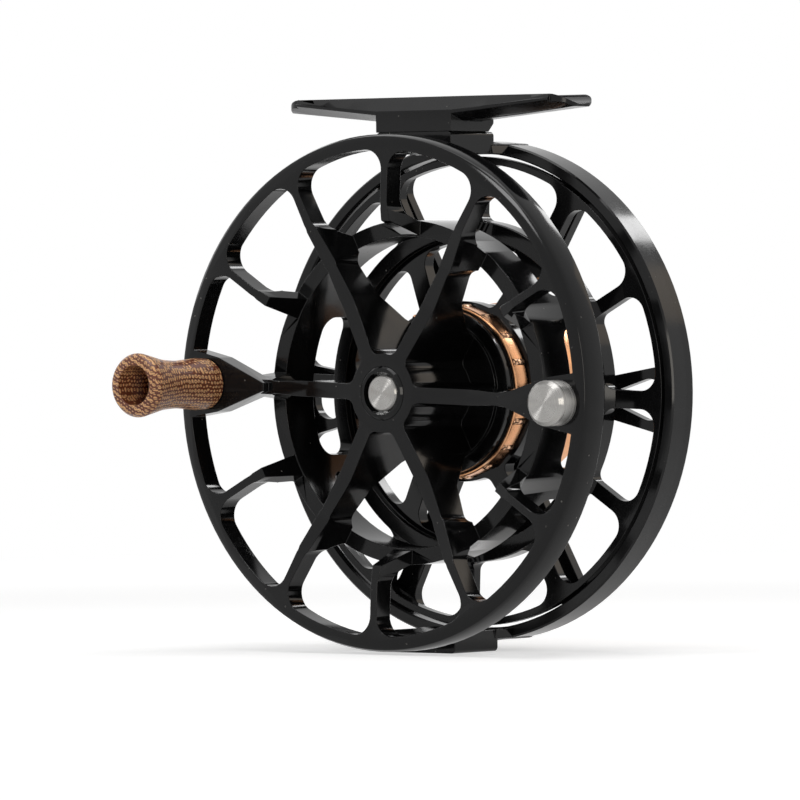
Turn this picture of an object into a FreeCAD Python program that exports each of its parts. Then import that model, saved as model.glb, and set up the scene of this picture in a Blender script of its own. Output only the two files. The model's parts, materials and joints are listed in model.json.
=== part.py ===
import FreeCAD, Part
import math
import os
import Sketcher

# A large-arbor fly reel.  Millimetres, +Z up, rod along X, spool axis along Y, handle side towards -Y.
# The origin is the middle of the saddle on top of the reel foot, where the rod blank lies.
# Every turned piece is drawn about the spool axis; its body is then put in place by AXLE_DROP and FOOT_BACK.

doc = FreeCAD.newDocument("fly_reel")

SIZES = {
    # where the spool axis lies, measured from the middle of the foot saddle
    "axle_drop": 52.1,
    "foot_back": 17.3,
    # spool: front flange
    "rim_radius": 47.0,
    "rim_inside": 44.3,
    "rim_front": 1.4,
    "rim_round": 1.3,
    "rim_back": 4.35,
    "flange_back": 2.7,
    "rim_lip": 1.2,
    # spool: front web
    "arch_radius": 7.2,
    "spoke_half": 1.45,
    "spoke_tip_half": 1.0,
    "spoke_end_half": 0.72,
    "web_break": 20.0,
    "dish_depth": 0.75,
    "dish_radius": 18.0,
    "petal_reach": 28.3,
    "petal_round": 2.6,
    "arch_round": 1.7,
    "petal_floor": 16.6,
    "mouth_edge": 31.6,
    "mouth_front": 1.5,
    "mouth_depth": 8.4,
    "mouth_taper": 18.9,
    "mouth_round": 1.5,
    "flare_inner": 26.0,
    "flare_outer": 36.0,
    "flare_angle": 9.0,
    "window_inner": 33.2,
    "window_dip": 32.6,
    "window_round": 3.6,
    "window_inner_round": 2.4,
    "rib_half": 0.75,
    # spool: arbor drum and hub barrel
    "drum_radius": 31.4,
    "drum_inside": 28.5,
    "barrel_radius": 15.2,
    "barrel_front": 16.9,
    "neck_radius": 12.9,
    "web_back": 6.9,
    "web_knee": 8.2,
    "drum_cove": 3.8,
    "drum_chamfer": 1.5,
    "groove_front": 18.4,
    "groove_width": 0.7,
    "port_front": 15.1,
    "port_back": 24.6,
    "port_half": 12.7,
    "port_round": 2.6,
    # spool: back web and flange
    "back_web_front": 22.8,
    "back_web_rise": 3.0,
    "back_web_wall": 2.6,
    "back_spoke_half": 1.9,
    "back_petal_inner": 16.6,
    "back_flange_radius": 43.2,
    "back_flange_front": 26.5,
    "back_flange_back": 28.5,
    "back_window_outer": 41.9,
    "back_window_inner": 31.5,
    "back_window_round": 3.2,
    "back_rib_half": 1.35,
    "barrel_back": 24.2,
    "gear_seat_back": 25.6,
    # hub bore
    "hub_face": 0.35,
    "ring_seat_radius": 4.9,
    "ring_seat_back": 2.2,
    "small_bearing_radius": 5.5,
    "small_bearing_width": 4.0,
    "clutch_radius": 6.0,
    "clutch_front": 15.2,
    "clutch_length": 6.0,
    "large_bearing_radius": 8.0,
    "large_bearing_width": 4.0,
    # spindle and its screw
    "spindle_radius": 2.5,
    "spindle_front": 2.1,
    "spindle_back": 39.6,
    "screw_radius": 1.5,
    "screw_end": 11.0,
    "cap_radius": 3.35,
    "cap_front": 0.5,
    "ring_bore": 3.9,
    "ring_front": 0.76,
    "sleeve_radius": 4.0,
    # frame
    "frame_radius": 46.0,
    "frame_inside": 43.6,
    "frame_front": 29.5,
    "frame_back": 32.8,
    "frame_chamfer": 0.5,
    "arm_front": 30.7,
    "arm_root_half": 1.6,
    "arm_end_half": 2.3,
    "fork_root_half": 1.2,
    "fork_end_half": 7.0,
    "arm_round": 3.3,
    "fork_eye_tip": 26.0,
    "fork_eye_end": 40.8,
    "fork_eye_half": 5.2,
    "fork_eye_round": 3.5,
    "bridge_half": 8.7,
    "bridge_front": 9.4,
    "bridge_step": 22.2,
    "bridge_height": 47.5,
    "bridge_inside": 44.4,
    "bridge_flare": 0.5,
    "bridge_shoulder": 45.4,
    # drag housing
    "housing_radius": 15.2,
    "housing_front": 26.6,
    "housing_inside": 11.2,
    "cover_radius": 14.0,
    "cover_thickness": 1.4,
    "cover_bore": 5.2,
    "cover_screw_circle": 12.6,
    "cover_screw_radius": 0.7,
    "housing_floor": 32.4,
    "housing_back": 33.8,
    "boss_radius": 6.0,
    "boss_back": 37.2,
    "disc_thickness": 0.8,
    "rotor_thickness": 1.2,
    "plate_thickness": 1.0,
    "stack_gap": 0.1,
    "plate_travel": 0.2,
    "disc_outer": 10.9,
    "disc_inner": 5.8,
    "hub_flats": 4.3,
    "pin_circle": 8.6,
    "pin_radius": 0.9,
    # drag knob
    "knob_radius": 16.2,
    "knob_front": 34.2,
    "knob_back": 42.0,
    "knob_rim": 1.7,
    "knob_hub": 10.0,
    "knob_web": 1.9,
    "insert_radius": 8.2,
    "insert_front": 36.45,
    "insert_back": 40.0,
    "thrust_outer": 9.8,
    "thrust_inner": 6.6,
    "thrust_front": 34.4,
    "thrust_back": 35.2,
    "spring_thickness": 0.25,
    "spring_dish": 0.35,
    "port_long": 2.3,
    "port_wide": 1.8,
    # click work
    "gear_radius": 10.4,
    "gear_root": 9.8,
    "gear_bore": 8.7,
    "gear_front": 24.3,
    "pawl_pivot": 12.5,
    "pawl_front": 24.7,
    "pawl_thickness": 1.1,
    "pawl_pin_radius": 0.6,
    # handle and counterweight
    "crank_radius": 41.0,
    "pad_half": 5.0,
    "pad_cusp": 37.8,
    "pad_neck": 30.5,
    "weight_pad_half": 4.4,
    "weight_radius": 4.1,
    "weight_height": 4.3,
    "weight_chamfer": 0.7,
    "weight_screw_radius": 1.0,
    "grip_length": 20.1,
    "grip_bore": 3.68,
    "grip_bore_depth": 10.0,
    "shank_radius": 2.0,
    "bushing_radius": 3.0,
    # foot
    "foot_half": 32.8,
    "foot_top": 54.0,
    "foot_front": 12.2,
    "foot_rear": 22.4,
    "saddle_radius": 8.0,
    "foot_belly": 49.4,
    "tip_belly": 51.6,
    "tip_round": 3.6,
    "foot_chin": 51.3,
    "foot_chin_front": 9.4,
    "foot_screw_radius": 1.25,
    "foot_screw_head": 2.2,
    "foot_screw_spread": 4.8,
    "foot_screw_back": 15.8,
    "foot_screw_top": 50.4,
    # fits
    "running": 0.05,
    "rest_turn": 2.35,
}

sheet = doc.addObject("Spreadsheet::Sheet", "Sizes")
for row, (size_name, size_value) in enumerate(SIZES.items(), start=1):
    sheet.set("A%d" % row, size_name)
    sheet.set("B%d" % row, str(size_value))
    sheet.setAlias("B%d" % row, size_name)
doc.recompute()


class Size:
    """A number that also carries its expression, so that a feature can be bound to the sheet."""

    def __init__(self, number, text):
        self.number = number
        self.text = text

    def joined(self, sign, other, number):
        return Size(number, "(%s %s %s)" % (self.text, sign, as_size(other).text))

    def __add__(self, other):
        return self.joined("+", other, self.number + as_size(other).number)

    def __sub__(self, other):
        return self.joined("-", other, self.number - as_size(other).number)

    def __mul__(self, other):
        return self.joined("*", other, self.number * as_size(other).number)

    def __truediv__(self, other):
        return self.joined("/", other, self.number / as_size(other).number)

    def __neg__(self):
        return Size(-self.number, "(0 - %s)" % self.text)


def as_size(value):
    if isinstance(value, Size):
        return value
    return Size(float(value), repr(float(value)))


def cell(name):
    return Size(float(sheet.get(name)), "Sizes.%s" % name)


class Cells:
    """Reads the sheet by name: S.rim_radius."""

    def __getattr__(self, name):
        return cell(name)


S = Cells()


def bind(thing, property_name, size):
    thing.setExpression(property_name, as_size(size).text)


# ---------------------------------------------------------------- sketch helpers


def line_between(start, end):
    """An outline edge through two points, with the outline's inside on its left."""
    return {"kind": "line", "start": start, "end": end}


def arc_about(centre, radius, inside):
    """An outline edge on a circle; inside says whether the outline lies inside that circle."""
    return {"kind": "arc", "centre": centre, "radius": radius, "inside": inside}


def vector(point):
    return FreeCAD.Vector(as_size(point[0]).number, as_size(point[1]).number, 0)


def shifted(edge, inset):
    """The edge moved into the outline by inset, as plain numbers."""
    if edge["kind"] == "line":
        start = vector(edge["start"])
        along = (vector(edge["end"]) - start).normalize()
        return ("line", start + FreeCAD.Vector(-along.y, along.x, 0) * inset, along)
    radius = as_size(edge["radius"]).number
    return ("arc", vector(edge["centre"]), radius - inset if edge["inside"] else radius + inset)


def crossings(one, two):
    """Points where two shifted edges cross."""
    if one[0] == "arc" and two[0] == "line":
        return crossings(two, one)
    if one[0] == "line" and two[0] == "line":
        gap = two[1] - one[1]
        across = one[2].x * two[2].y - one[2].y * two[2].x
        return [one[1] + one[2] * ((gap.x * two[2].y - gap.y * two[2].x) / across)]
    if one[0] == "line":
        foot = (two[1] - one[1]).dot(one[2])
        middle = one[1] + one[2] * foot
        half = math.sqrt(two[2] ** 2 - (middle - two[1]).Length ** 2)
        return [middle - one[2] * half, middle + one[2] * half]
    span = two[1] - one[1]
    reach = span.Length
    along = (one[2] ** 2 - two[2] ** 2 + reach ** 2) / (2 * reach)
    half = math.sqrt(one[2] ** 2 - along ** 2)
    base = one[1] + span * (along / reach)
    side = FreeCAD.Vector(-span.y, span.x, 0) * (half / reach)
    return [base - side, base + side]


def heading(edge, point):
    """The direction in which an edge runs where it passes a point."""
    if edge["kind"] == "line":
        return (vector(edge["end"]) - vector(edge["start"])).normalize()
    out = (point - vector(edge["centre"])).normalize()
    side = 1 if edge["inside"] else -1
    return FreeCAD.Vector(-out.y * side, out.x * side, 0)


def nearest(points, target):
    return min(points, key=lambda point: (point - target).Length)


def foot_on(edge, point):
    """Where a point's perpendicular meets an edge."""
    kind = shifted(edge, 0)
    if kind[0] == "line":
        return kind[1] + kind[2] * (point - kind[1]).dot(kind[2])
    return kind[1] + (point - kind[1]).normalize() * kind[2]


def fix_point(sketch, geometry, position, point):
    """Holds a point at two bound coordinates."""
    for axis, size, reference in (("DistanceX", point[0], -2), ("DistanceY", point[1], -1)):
        size = as_size(size)
        if abs(size.number) < 1e-9:
            sketch.addConstraint(Sketcher.Constraint("PointOnObject", geometry, position, reference))
            continue
        index = sketch.addConstraint(Sketcher.Constraint(axis, -1, 1, geometry, position, size.number))
        bind(sketch, "Constraints[%d]" % index, size)


def hold_radius(sketch, geometry, radius):
    """Holds an arc or a circle at a bound radius."""
    constraint = Sketcher.Constraint("Radius", geometry, as_size(radius).number)
    bind(sketch, "Constraints[%d]" % sketch.addConstraint(constraint), radius)


def helper_point(sketch, point):
    """A construction point at two bound coordinates."""
    geometry = sketch.addGeometry(Part.Point(vector(point)), True)
    fix_point(sketch, geometry, 1, point)
    return geometry


def arc_edge(centre, radius, start, end, turning_left):
    """A counter-clockwise arc that covers the short way between two points."""
    first, last = (start, end) if turning_left else (end, start)
    circle = Part.Circle(centre, FreeCAD.Vector(0, 0, 1), radius)
    angle_one = math.atan2(first.y - centre.y, first.x - centre.x)
    angle_two = math.atan2(last.y - centre.y, last.x - centre.x)
    if angle_two < angle_one:
        angle_two += 2 * math.pi
    return Part.ArcOfCircle(circle, angle_one, angle_two)


def outline(sketch, edges, corners, rounds):
    """Draws a closed anticlockwise outline.

    corners[i] is roughly where edge i ends and edge i + 1 starts, and rounds[i] is the radius there or None.
    """
    count = len(edges)
    stops = []
    for i in range(count):
        follower = edges[(i + 1) % count]
        target = vector(corners[i])
        radius = as_size(rounds[i]).number if rounds[i] is not None else 0.0
        convex = heading(edges[i], target).cross(heading(follower, target)).z > 0
        inset = radius if convex else -radius
        centre = nearest(crossings(shifted(edges[i], inset), shifted(follower, inset)), target)
        stops.append((foot_on(edges[i], centre), foot_on(follower, centre), centre, convex))
    drawn = []
    for i, edge in enumerate(edges):
        start = stops[i - 1][1]
        end = stops[i][0]
        if edge["kind"] == "line":
            geometry = sketch.addGeometry(Part.LineSegment(start, end), False)
            drawn.append((geometry, 1, 2))
            continue
        centre = vector(edge["centre"])
        arc = arc_edge(centre, as_size(edge["radius"]).number, start, end, edge["inside"])
        geometry = sketch.addGeometry(arc, False)
        drawn.append((geometry, 1, 2) if edge["inside"] else (geometry, 2, 1))
    bends = []
    for i in range(count):
        if rounds[i] is None:
            bends.append(None)
            continue
        start, end, centre, convex = stops[i]
        bend = arc_edge(centre, (start - centre).Length, start, end, convex)
        bends.append(sketch.addGeometry(bend, False))
    for i in range(count):
        geometry, _, finish = drawn[i]
        follower, begin, _ = drawn[(i + 1) % count]
        if bends[i] is None:
            sketch.addConstraint(Sketcher.Constraint("Coincident", geometry, finish, follower, begin))
            continue
        first, last = (1, 2) if stops[i][3] else (2, 1)
        sketch.addConstraint(Sketcher.Constraint("Tangent", geometry, finish, bends[i], first))
        sketch.addConstraint(Sketcher.Constraint("Tangent", bends[i], last, follower, begin))
        hold_radius(sketch, bends[i], rounds[i])
    helpers = {}
    for i, edge in enumerate(edges):
        geometry = drawn[i][0]
        if edge["kind"] == "arc":
            centre = edge["centre"]
            fix_point(sketch, geometry, 3, centre)
            hold_radius(sketch, geometry, edge["radius"])
            continue
        for point in (edge["start"], edge["end"]):
            key = (as_size(point[0]).text, as_size(point[1]).text)
            if key not in helpers:
                helpers[key] = helper_point(sketch, point)
            sketch.addConstraint(Sketcher.Constraint("PointOnObject", helpers[key], 1, geometry))


def polygon(sketch, points, rounds=None):
    """Draws a closed outline of straight edges; points run anticlockwise, some with a corner radius."""
    rounds = rounds or {}
    if not rounds:
        count = len(points)
        lines = []
        for i, point in enumerate(points):
            edge = Part.LineSegment(vector(point), vector(points[(i + 1) % count]))
            lines.append(sketch.addGeometry(edge, False))
        for i in range(count):
            sketch.addConstraint(Sketcher.Constraint("Coincident", lines[i - 1], 2, lines[i], 1))
            fix_point(sketch, lines[i], 1, points[i])
        return
    edges = []
    corners = []
    radii = []
    for i, point in enumerate(points):
        follower = (i + 1) % len(points)
        edges.append(line_between(point, points[follower]))
        corners.append(points[follower])
        radii.append(rounds.get(follower))
    outline(sketch, edges, corners, radii)


def circle(sketch, centre, radius):
    geometry = sketch.addGeometry(
        Part.Circle(vector(centre), FreeCAD.Vector(0, 0, 1), as_size(radius).number), False
    )
    fix_point(sketch, geometry, 3, centre)
    hold_radius(sketch, geometry, radius)


# ---------------------------------------------------------------- body helpers


def new_body(name):
    body = doc.addObject("PartDesign::Body", name)
    body.Label = name
    return body


def seat(body, turn=None):
    """Puts a body drawn about the spool axis where it belongs under the foot."""
    bind(body, "Placement.Base.y", -S.foot_back)
    bind(body, "Placement.Base.z", -S.axle_drop)
    if turn is not None:
        body.Placement = FreeCAD.Placement(
            body.Placement.Base, FreeCAD.Rotation(FreeCAD.Vector(0, 1, 0), 0)
        )
        bind(body, "Placement.Rotation.Angle", turn)


def add_sketch(body, name, plane, offset=0.0, turn=None):
    """A sketch on one of the body's own planes, moved along the plane's normal and turned about it."""
    sketch = body.newObject("Sketcher::SketchObject", name)
    for feature in body.Origin.OriginFeatures:
        if feature.Role == plane:
            sketch.AttachmentSupport = (feature, [""])
    sketch.MapMode = "FlatFace"
    if turn is not None:
        sketch.AttachmentOffset = FreeCAD.Placement(
            FreeCAD.Vector(0, 0, 0), FreeCAD.Rotation(FreeCAD.Vector(0, 0, 1), 1)
        )
        bind(sketch, "AttachmentOffset.Rotation.Angle", turn)
    bind(sketch, "AttachmentOffset.Base.z", offset)
    return sketch


def face_sketch(body, name, depth, turn=None):
    """A sketch square to the spool axis, at the given distance behind the rim's front edge."""
    return add_sketch(body, name, "XZ_Plane", -as_size(depth), turn)


def axial_sketch(body, name):
    """A sketch that holds the spool axis: x runs along the axis and y is the radius."""
    return add_sketch(body, name, "YZ_Plane")


def radial_sketch(body, name, distance, degrees):
    """A sketch square to a radius at the given angle: x runs along the spool axis, y around it."""
    sketch = add_sketch(body, name, "YZ_Plane")
    sketch.AttachmentOffset = FreeCAD.Placement(
        FreeCAD.Vector(0, 0, 0), FreeCAD.Rotation(FreeCAD.Vector(1, 0, 0), degrees)
    )
    along, aside = polar(distance, degrees)
    bind(sketch, "AttachmentOffset.Base.z", along)
    bind(sketch, "AttachmentOffset.Base.y", -aside)
    return sketch


def feature(body, kind, name, sketch):
    made = body.newObject("PartDesign::" + kind, name)
    made.Profile = sketch
    sketch.Visibility = False
    return made


def revolve(body, name, sketch, kind="Revolution", axis="H_Axis"):
    made = feature(body, kind, name, sketch)
    made.ReferenceAxis = (sketch, [axis])
    made.Angle = 360.0
    doc.recompute()
    return made


def pad(body, name, sketch, length, backwards=False, both_ways=False):
    """Adds material along the sketch's normal, or against it."""
    made = feature(body, "Pad", name, sketch)
    bind(made, "Length", length)
    made.Reversed = backwards
    made.Midplane = both_ways
    doc.recompute()
    return made


def pocket(body, name, sketch, length, forwards=False, both_ways=False):
    """Takes material away against the sketch's normal, or along it, and makes sure that it did."""
    before = body.Shape.Volume
    made = feature(body, "Pocket", name, sketch)
    bind(made, "Length", length)
    made.Reversed = forwards
    made.Midplane = both_ways
    doc.recompute()
    if not body.Shape.Volume < before - 1e-6:
        raise RuntimeError("the pocket %s cuts nothing" % name)
    return made


def around(body, name, features, count):
    """Repeats features about the spool axis."""
    pattern = body.newObject("PartDesign::PolarPattern", name)
    pattern.Originals = features
    pattern.Axis = (features[0].Profile[0], ["N_Axis"])
    pattern.Angle = 360.0
    pattern.Occurrences = count
    body.Tip = pattern
    doc.recompute()
    return pattern


def turned(name, points, rounds=None, turn=None):
    """A piece turned on a lathe: points are (distance along the axis, radius), anticlockwise."""
    body = new_body(name)
    sketch = axial_sketch(body, name + "_profile")
    polygon(sketch, points, rounds)
    revolve(body, name + "_turning", sketch)
    seat(body, turn)
    return body


def washer(name, front, back, inner, outer):
    """A plain ring between two planes."""
    return turned(name, [(front, inner), (back, inner), (back, outer), (front, outer)])


def polar(radius, degrees):
    """A point at a radius and an angle, as bound sizes."""
    radius = as_size(radius)
    angle = math.radians(degrees)
    across = Size(radius.number * math.cos(angle), "(%s * cos(%s))" % (radius.text, repr(float(degrees))))
    upward = Size(radius.number * math.sin(angle), "(%s * sin(%s))" % (radius.text, repr(float(degrees))))
    return (across, upward)


def beside(radius, degrees, sideways):
    """A point at a radius along a direction, then sideways from it (anticlockwise)."""
    along = polar(radius, degrees)
    aside = polar(sideways, degrees + 90)
    return (along[0] + aside[0], along[1] + aside[1])


# ---------------------------------------------------------------- spool

HALF_STEP = 30.0
EASE = 1.0 - math.cos(math.radians(45.0))


def spool_turn():
    """The ribs lie at 0, 60, 120... in the spool's own drawing and the spokes half way between them."""
    return S.rest_turn + HALF_STEP


def petal_outline(sketch):
    """The opening between two spokes, from the hub's arch out to the arbor."""
    low_near = beside(S.arch_radius, -30, S.spoke_half)
    low_knee = beside(S.web_break, -30, S.spoke_half)
    low_far = beside(S.petal_reach, -30, S.spoke_tip_half)
    high_near = beside(S.arch_radius, 30, -S.spoke_half)
    high_knee = beside(S.web_break, 30, -S.spoke_half)
    high_far = beside(S.petal_reach, 30, -S.spoke_tip_half)
    centre = (0, 0)
    edges = [
        line_between(low_near, low_knee),
        line_between(low_knee, low_far),
        arc_about(centre, S.petal_reach, True),
        line_between(high_far, high_knee),
        line_between(high_knee, high_near),
        arc_about(centre, S.arch_radius, False),
    ]
    corners = [low_knee, low_far, high_far, high_knee, high_near, low_near]
    bend = S.web_break * 2.0
    rounds = [bend, S.petal_round, S.petal_round, bend, S.arch_round, S.arch_round]
    outline(sketch, edges, corners, rounds)


def mouth_outline(sketch):
    """The bevelled mouth of the arbor between two spokes, which also slopes the inner end of the rib."""
    clear = 0.25
    low_near = beside(S.web_break, -30, S.spoke_half + clear)
    low_far = beside(S.mouth_edge, -30, S.spoke_tip_half + clear)
    high_near = beside(S.web_break, 30, -(S.spoke_half + clear))
    high_far = beside(S.mouth_edge, 30, -(S.spoke_tip_half + clear))
    edges = [
        line_between(low_near, low_far),
        arc_about((0, 0), S.mouth_edge, True),
        line_between(high_far, high_near),
        arc_about((0, 0), S.web_break, False),
    ]
    corners = [low_far, high_far, high_near, low_near]
    outline(sketch, edges, corners, [S.mouth_round, S.mouth_round, None, None])


def flare_outline(sketch, side):
    """What is cut away in front of the drum on one side of a rib, so that rib and spoke widen towards it."""
    rib_in = beside(S.flare_inner, 0, S.rib_half * side)
    rib_out = beside(S.flare_outer, 0, S.rib_half * side)
    spoke_in = beside(S.flare_inner, 30 * side, -(S.spoke_tip_half * side))
    spoke_out = beside(S.flare_outer, 30 * side, -(S.spoke_tip_half * side))
    sector(sketch, side, (rib_in, rib_out, spoke_in, spoke_out), S.flare_inner, S.flare_outer, None, None)


def sector(sketch, side, ends, inner_radius, outer_radius, inner_round, outer_round):
    """A closed outline between the rib at 0 degrees, the spoke on one side of it and two arcs."""
    rib_in, rib_out, spoke_in, spoke_out = ends
    outer = arc_about((0, 0), outer_radius, True)
    inner = arc_about((0, 0), inner_radius, False)
    if side > 0:
        edges = [line_between(rib_in, rib_out), outer, line_between(spoke_out, spoke_in), inner]
        corners = [rib_out, spoke_out, spoke_in, rib_in]
        rounds = [outer_round, outer_round, inner_round, inner_round]
    else:
        edges = [line_between(rib_out, rib_in), inner, line_between(spoke_in, spoke_out), outer]
        corners = [rib_in, spoke_in, spoke_out, rib_out]
        rounds = [inner_round, inner_round, outer_round, outer_round]
    outline(sketch, edges, corners, rounds)


def window_outline(sketch, side):
    """One window of the front flange between a rib at 0 degrees and the spoke on the given side."""
    rib_in = beside(S.window_dip, 0, S.rib_half * side)
    rib_out = beside(S.rim_inside, 0, S.rib_half * side)
    spoke_out = beside(S.rim_inside, 30 * side, -(S.spoke_end_half * side))
    spoke_in = beside(S.drum_radius, 30 * side, -(S.spoke_tip_half * side))
    inner_rib = polar(S.window_dip, 0)
    inner_spoke = polar(S.window_inner, 30 * side)
    edges = [
        line_between(rib_in, rib_out),
        arc_about((0, 0), S.rim_inside, True),
        line_between(spoke_out, spoke_in),
        line_between(inner_spoke, inner_rib),
    ]
    corners = [rib_out, spoke_out, inner_spoke, inner_rib]
    rounds = [S.window_round, S.window_round, S.window_inner_round, S.window_inner_round]
    if side < 0:
        edges = [
            line_between(rib_out, rib_in),
            line_between(inner_rib, inner_spoke),
            line_between(spoke_in, spoke_out),
            arc_about((0, 0), S.rim_inside, True),
        ]
        corners = [inner_rib, inner_spoke, spoke_out, rib_out]
        rounds = [S.window_inner_round, S.window_inner_round, S.window_round, S.window_round]
    outline(sketch, edges, corners, rounds)


def back_petal_outline(sketch):
    """The opening between two back spokes, inside the arbor."""
    low_near = beside(S.back_petal_inner, -30, S.back_spoke_half)
    low_far = beside(S.drum_inside, -30, S.back_spoke_half)
    high_near = beside(S.back_petal_inner, 30, -S.back_spoke_half)
    high_far = beside(S.drum_inside, 30, -S.back_spoke_half)
    edges = [
        line_between(low_near, low_far),
        arc_about((0, 0), S.drum_inside - 1.0, True),
        line_between(high_far, high_near),
        arc_about((0, 0), S.back_petal_inner, False),
    ]
    corners = [low_far, high_far, high_near, low_near]
    outline(sketch, edges, corners, [S.petal_round, S.petal_round, S.arch_round, S.arch_round])


def back_window_outline(sketch, side):
    """One window of the back flange between a rib at 0 degrees and the spoke on the given side."""
    spoke_half = S.back_spoke_half * 0.88
    inner, outer = S.back_window_inner, S.back_window_outer
    rib_in = beside(inner, 0, S.back_rib_half * side)
    rib_out = beside(outer, 0, S.back_rib_half * side)
    spoke_in = beside(inner, 30 * side, -(spoke_half * side))
    spoke_out = beside(outer, 30 * side, -(spoke_half * side))
    ends = (rib_in, rib_out, spoke_in, spoke_out)
    sector(sketch, side, ends, inner, outer, S.arch_round, S.back_window_round)


def crank_pad(body, name, degrees, half):
    """A pad on the rim at the end of one spoke, with flanks that sweep in to the spoke."""
    sketch = face_sketch(body, name + "_outline", S.flange_back, degrees)
    root = S.pad_neck - 3.5
    neck_half = half * 0.42
    rim = S.rim_inside + 0.8
    rim_half = half * 1.28
    polygon(
        sketch,
        [
            (root, -S.spoke_end_half),
            (S.pad_neck, -neck_half),
            (S.pad_cusp, -half),
            (rim, -rim_half),
            (rim, rim_half),
            (S.pad_cusp, half),
            (S.pad_neck, neck_half),
            (root, S.spoke_end_half),
        ],
        {1: 12.0, 6: 12.0, 2: 2.0, 5: 2.0},
    )
    return pad(body, name, sketch, S.flange_back + S.rim_front)


def make_spool():
    """The spool, one machined piece: dished and windowed front flange, arbor drum, back flange and hub."""
    body = new_body("spool")
    sketch = axial_sketch(body, "spool_profile")
    seat_back = S.gear_seat_back
    polygon(
        sketch,
        [
            (-S.hub_face, S.ring_seat_radius),
            (S.ring_seat_back, S.ring_seat_radius),
            (S.ring_seat_back, S.small_bearing_radius),
            (S.clutch_front, S.small_bearing_radius),
            (S.clutch_front, S.clutch_radius),
            (S.clutch_front + S.clutch_length, S.clutch_radius),
            (S.clutch_front + S.clutch_length, S.large_bearing_radius),
            (seat_back, S.large_bearing_radius),
            (seat_back, S.gear_bore),
            (S.barrel_back, S.gear_bore),
            (S.barrel_back, S.barrel_radius - 1.0),
            (S.back_web_front + S.back_web_wall, S.barrel_radius - 1.0),
            (S.back_web_front + S.back_web_rise + S.back_web_wall, S.drum_inside),
            (S.back_flange_back, S.drum_radius + 0.6),
            (S.back_flange_back, S.back_flange_radius),
            (S.back_flange_front, S.back_flange_radius),
            (S.back_flange_front, S.drum_radius + S.drum_chamfer),
            (S.back_flange_front - S.drum_chamfer, S.drum_radius),
            (S.flange_back + S.drum_cove, S.drum_radius),
            (S.flange_back + S.drum_cove * EASE, S.drum_radius + S.drum_cove * EASE),
            (S.flange_back, S.drum_radius + S.drum_cove),
            (S.flange_back, S.rim_inside),
            (S.rim_back, S.rim_radius - S.rim_lip),
            (S.rim_back, S.rim_radius),
            (-S.rim_front + S.rim_round, S.rim_radius),
            (-S.rim_front + S.rim_round * EASE, S.rim_radius - S.rim_round * EASE),
            (-S.rim_front, S.rim_radius - S.rim_round),
            (-S.rim_front, S.drum_radius + 3.6),
            (S.dish_depth - 0.6, S.drum_inside - 1.5),
            (S.dish_depth, S.dish_radius),
            (-S.hub_face, S.arch_radius),
        ],
    )
    revolve(body, "spool_turning", sketch)

    sketch = axial_sketch(body, "arbor_cavity_profile")
    polygon(
        sketch,
        [
            (S.web_back, S.drum_inside),
            (S.web_back, S.drum_inside - 2.0),
            (S.web_knee, S.web_break),
            (S.barrel_front - 3.4, S.neck_radius + 1.6),
            (S.barrel_front - 0.6, S.neck_radius),
            (S.barrel_front + 0.4, S.neck_radius),
            (S.barrel_front + 0.4, S.barrel_radius),
            (S.groove_front, S.barrel_radius),
            (S.groove_front, S.barrel_radius - 0.4),
            (S.groove_front + S.groove_width, S.barrel_radius - 0.4),
            (S.groove_front + S.groove_width, S.barrel_radius),
            (S.back_web_front, S.barrel_radius),
            (S.back_web_front + S.back_web_rise, S.drum_inside),
        ],
    )
    revolve(body, "arbor_cavity", sketch, "Groove")

    sketch = face_sketch(body, "petal_outline", -2.0)
    petal_outline(sketch)
    petal = pocket(body, "petal", sketch, S.petal_floor + 2.0)
    sketch = face_sketch(body, "mouth_outline", -S.mouth_front)
    mouth_outline(sketch)
    mouth = pocket(body, "arbor_mouth", sketch, S.mouth_depth)
    bind(mouth, "TaperAngle", -S.mouth_taper)
    sketch = face_sketch(body, "window_outline", -2.0)
    window_outline(sketch, 1)
    window_outline(sketch, -1)
    window = pocket(body, "windows", sketch, S.web_back + 2.0)
    sketch = face_sketch(body, "flare_outline", -2.0)
    flare_outline(sketch, 1)
    flare_outline(sketch, -1)
    flare = pocket(body, "flares", sketch, S.web_back + 2.0)
    bind(flare, "TaperAngle", -S.flare_angle)
    sketch = face_sketch(body, "back_petal_outline", S.barrel_front + 1.0)
    back_petal_outline(sketch)
    back_petal = pocket(body, "back_petal", sketch, S.back_flange_back - S.barrel_front)
    sketch = face_sketch(body, "back_window_outline", S.back_flange_front - S.drum_chamfer - 0.1)
    back_window_outline(sketch, 1)
    back_window_outline(sketch, -1)
    back_window = pocket(body, "back_windows", sketch, S.back_flange_back)
    reach = S.drum_radius + 3.0
    sketch = radial_sketch(body, "port_outline", reach, HALF_STEP)
    polygon(
        sketch,
        [
            (S.port_front, -S.port_half),
            (S.port_back, -S.port_half),
            (S.port_back, S.port_half),
            (S.port_front, S.port_half),
        ],
        {0: S.port_round, 1: S.port_round, 2: S.port_round, 3: S.port_round},
    )
    port = pocket(body, "arbor_port", sketch, reach - S.drum_inside + 3.2)
    around(body, "spokes_and_windows", [petal, mouth, window, flare, back_petal, back_window, port], 6)

    crank_pad(body, "handle_pad", 7 * HALF_STEP, S.pad_half)
    crank_pad(body, "weight_pad", HALF_STEP, S.weight_pad_half)
    sketch = face_sketch(body, "crank_hole_outline", -S.rim_front, HALF_STEP)
    circle(sketch, (S.crank_radius, 0), S.weight_screw_radius + S.running)
    circle(sketch, (-S.crank_radius, 0), S.shank_radius + S.running)
    pocket(body, "crank_holes", sketch, S.flange_back + S.rim_front + 1.0)
    seat(body, spool_turn())
    return body


# ---------------------------------------------------------------- hub, bearings and spindle


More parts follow.
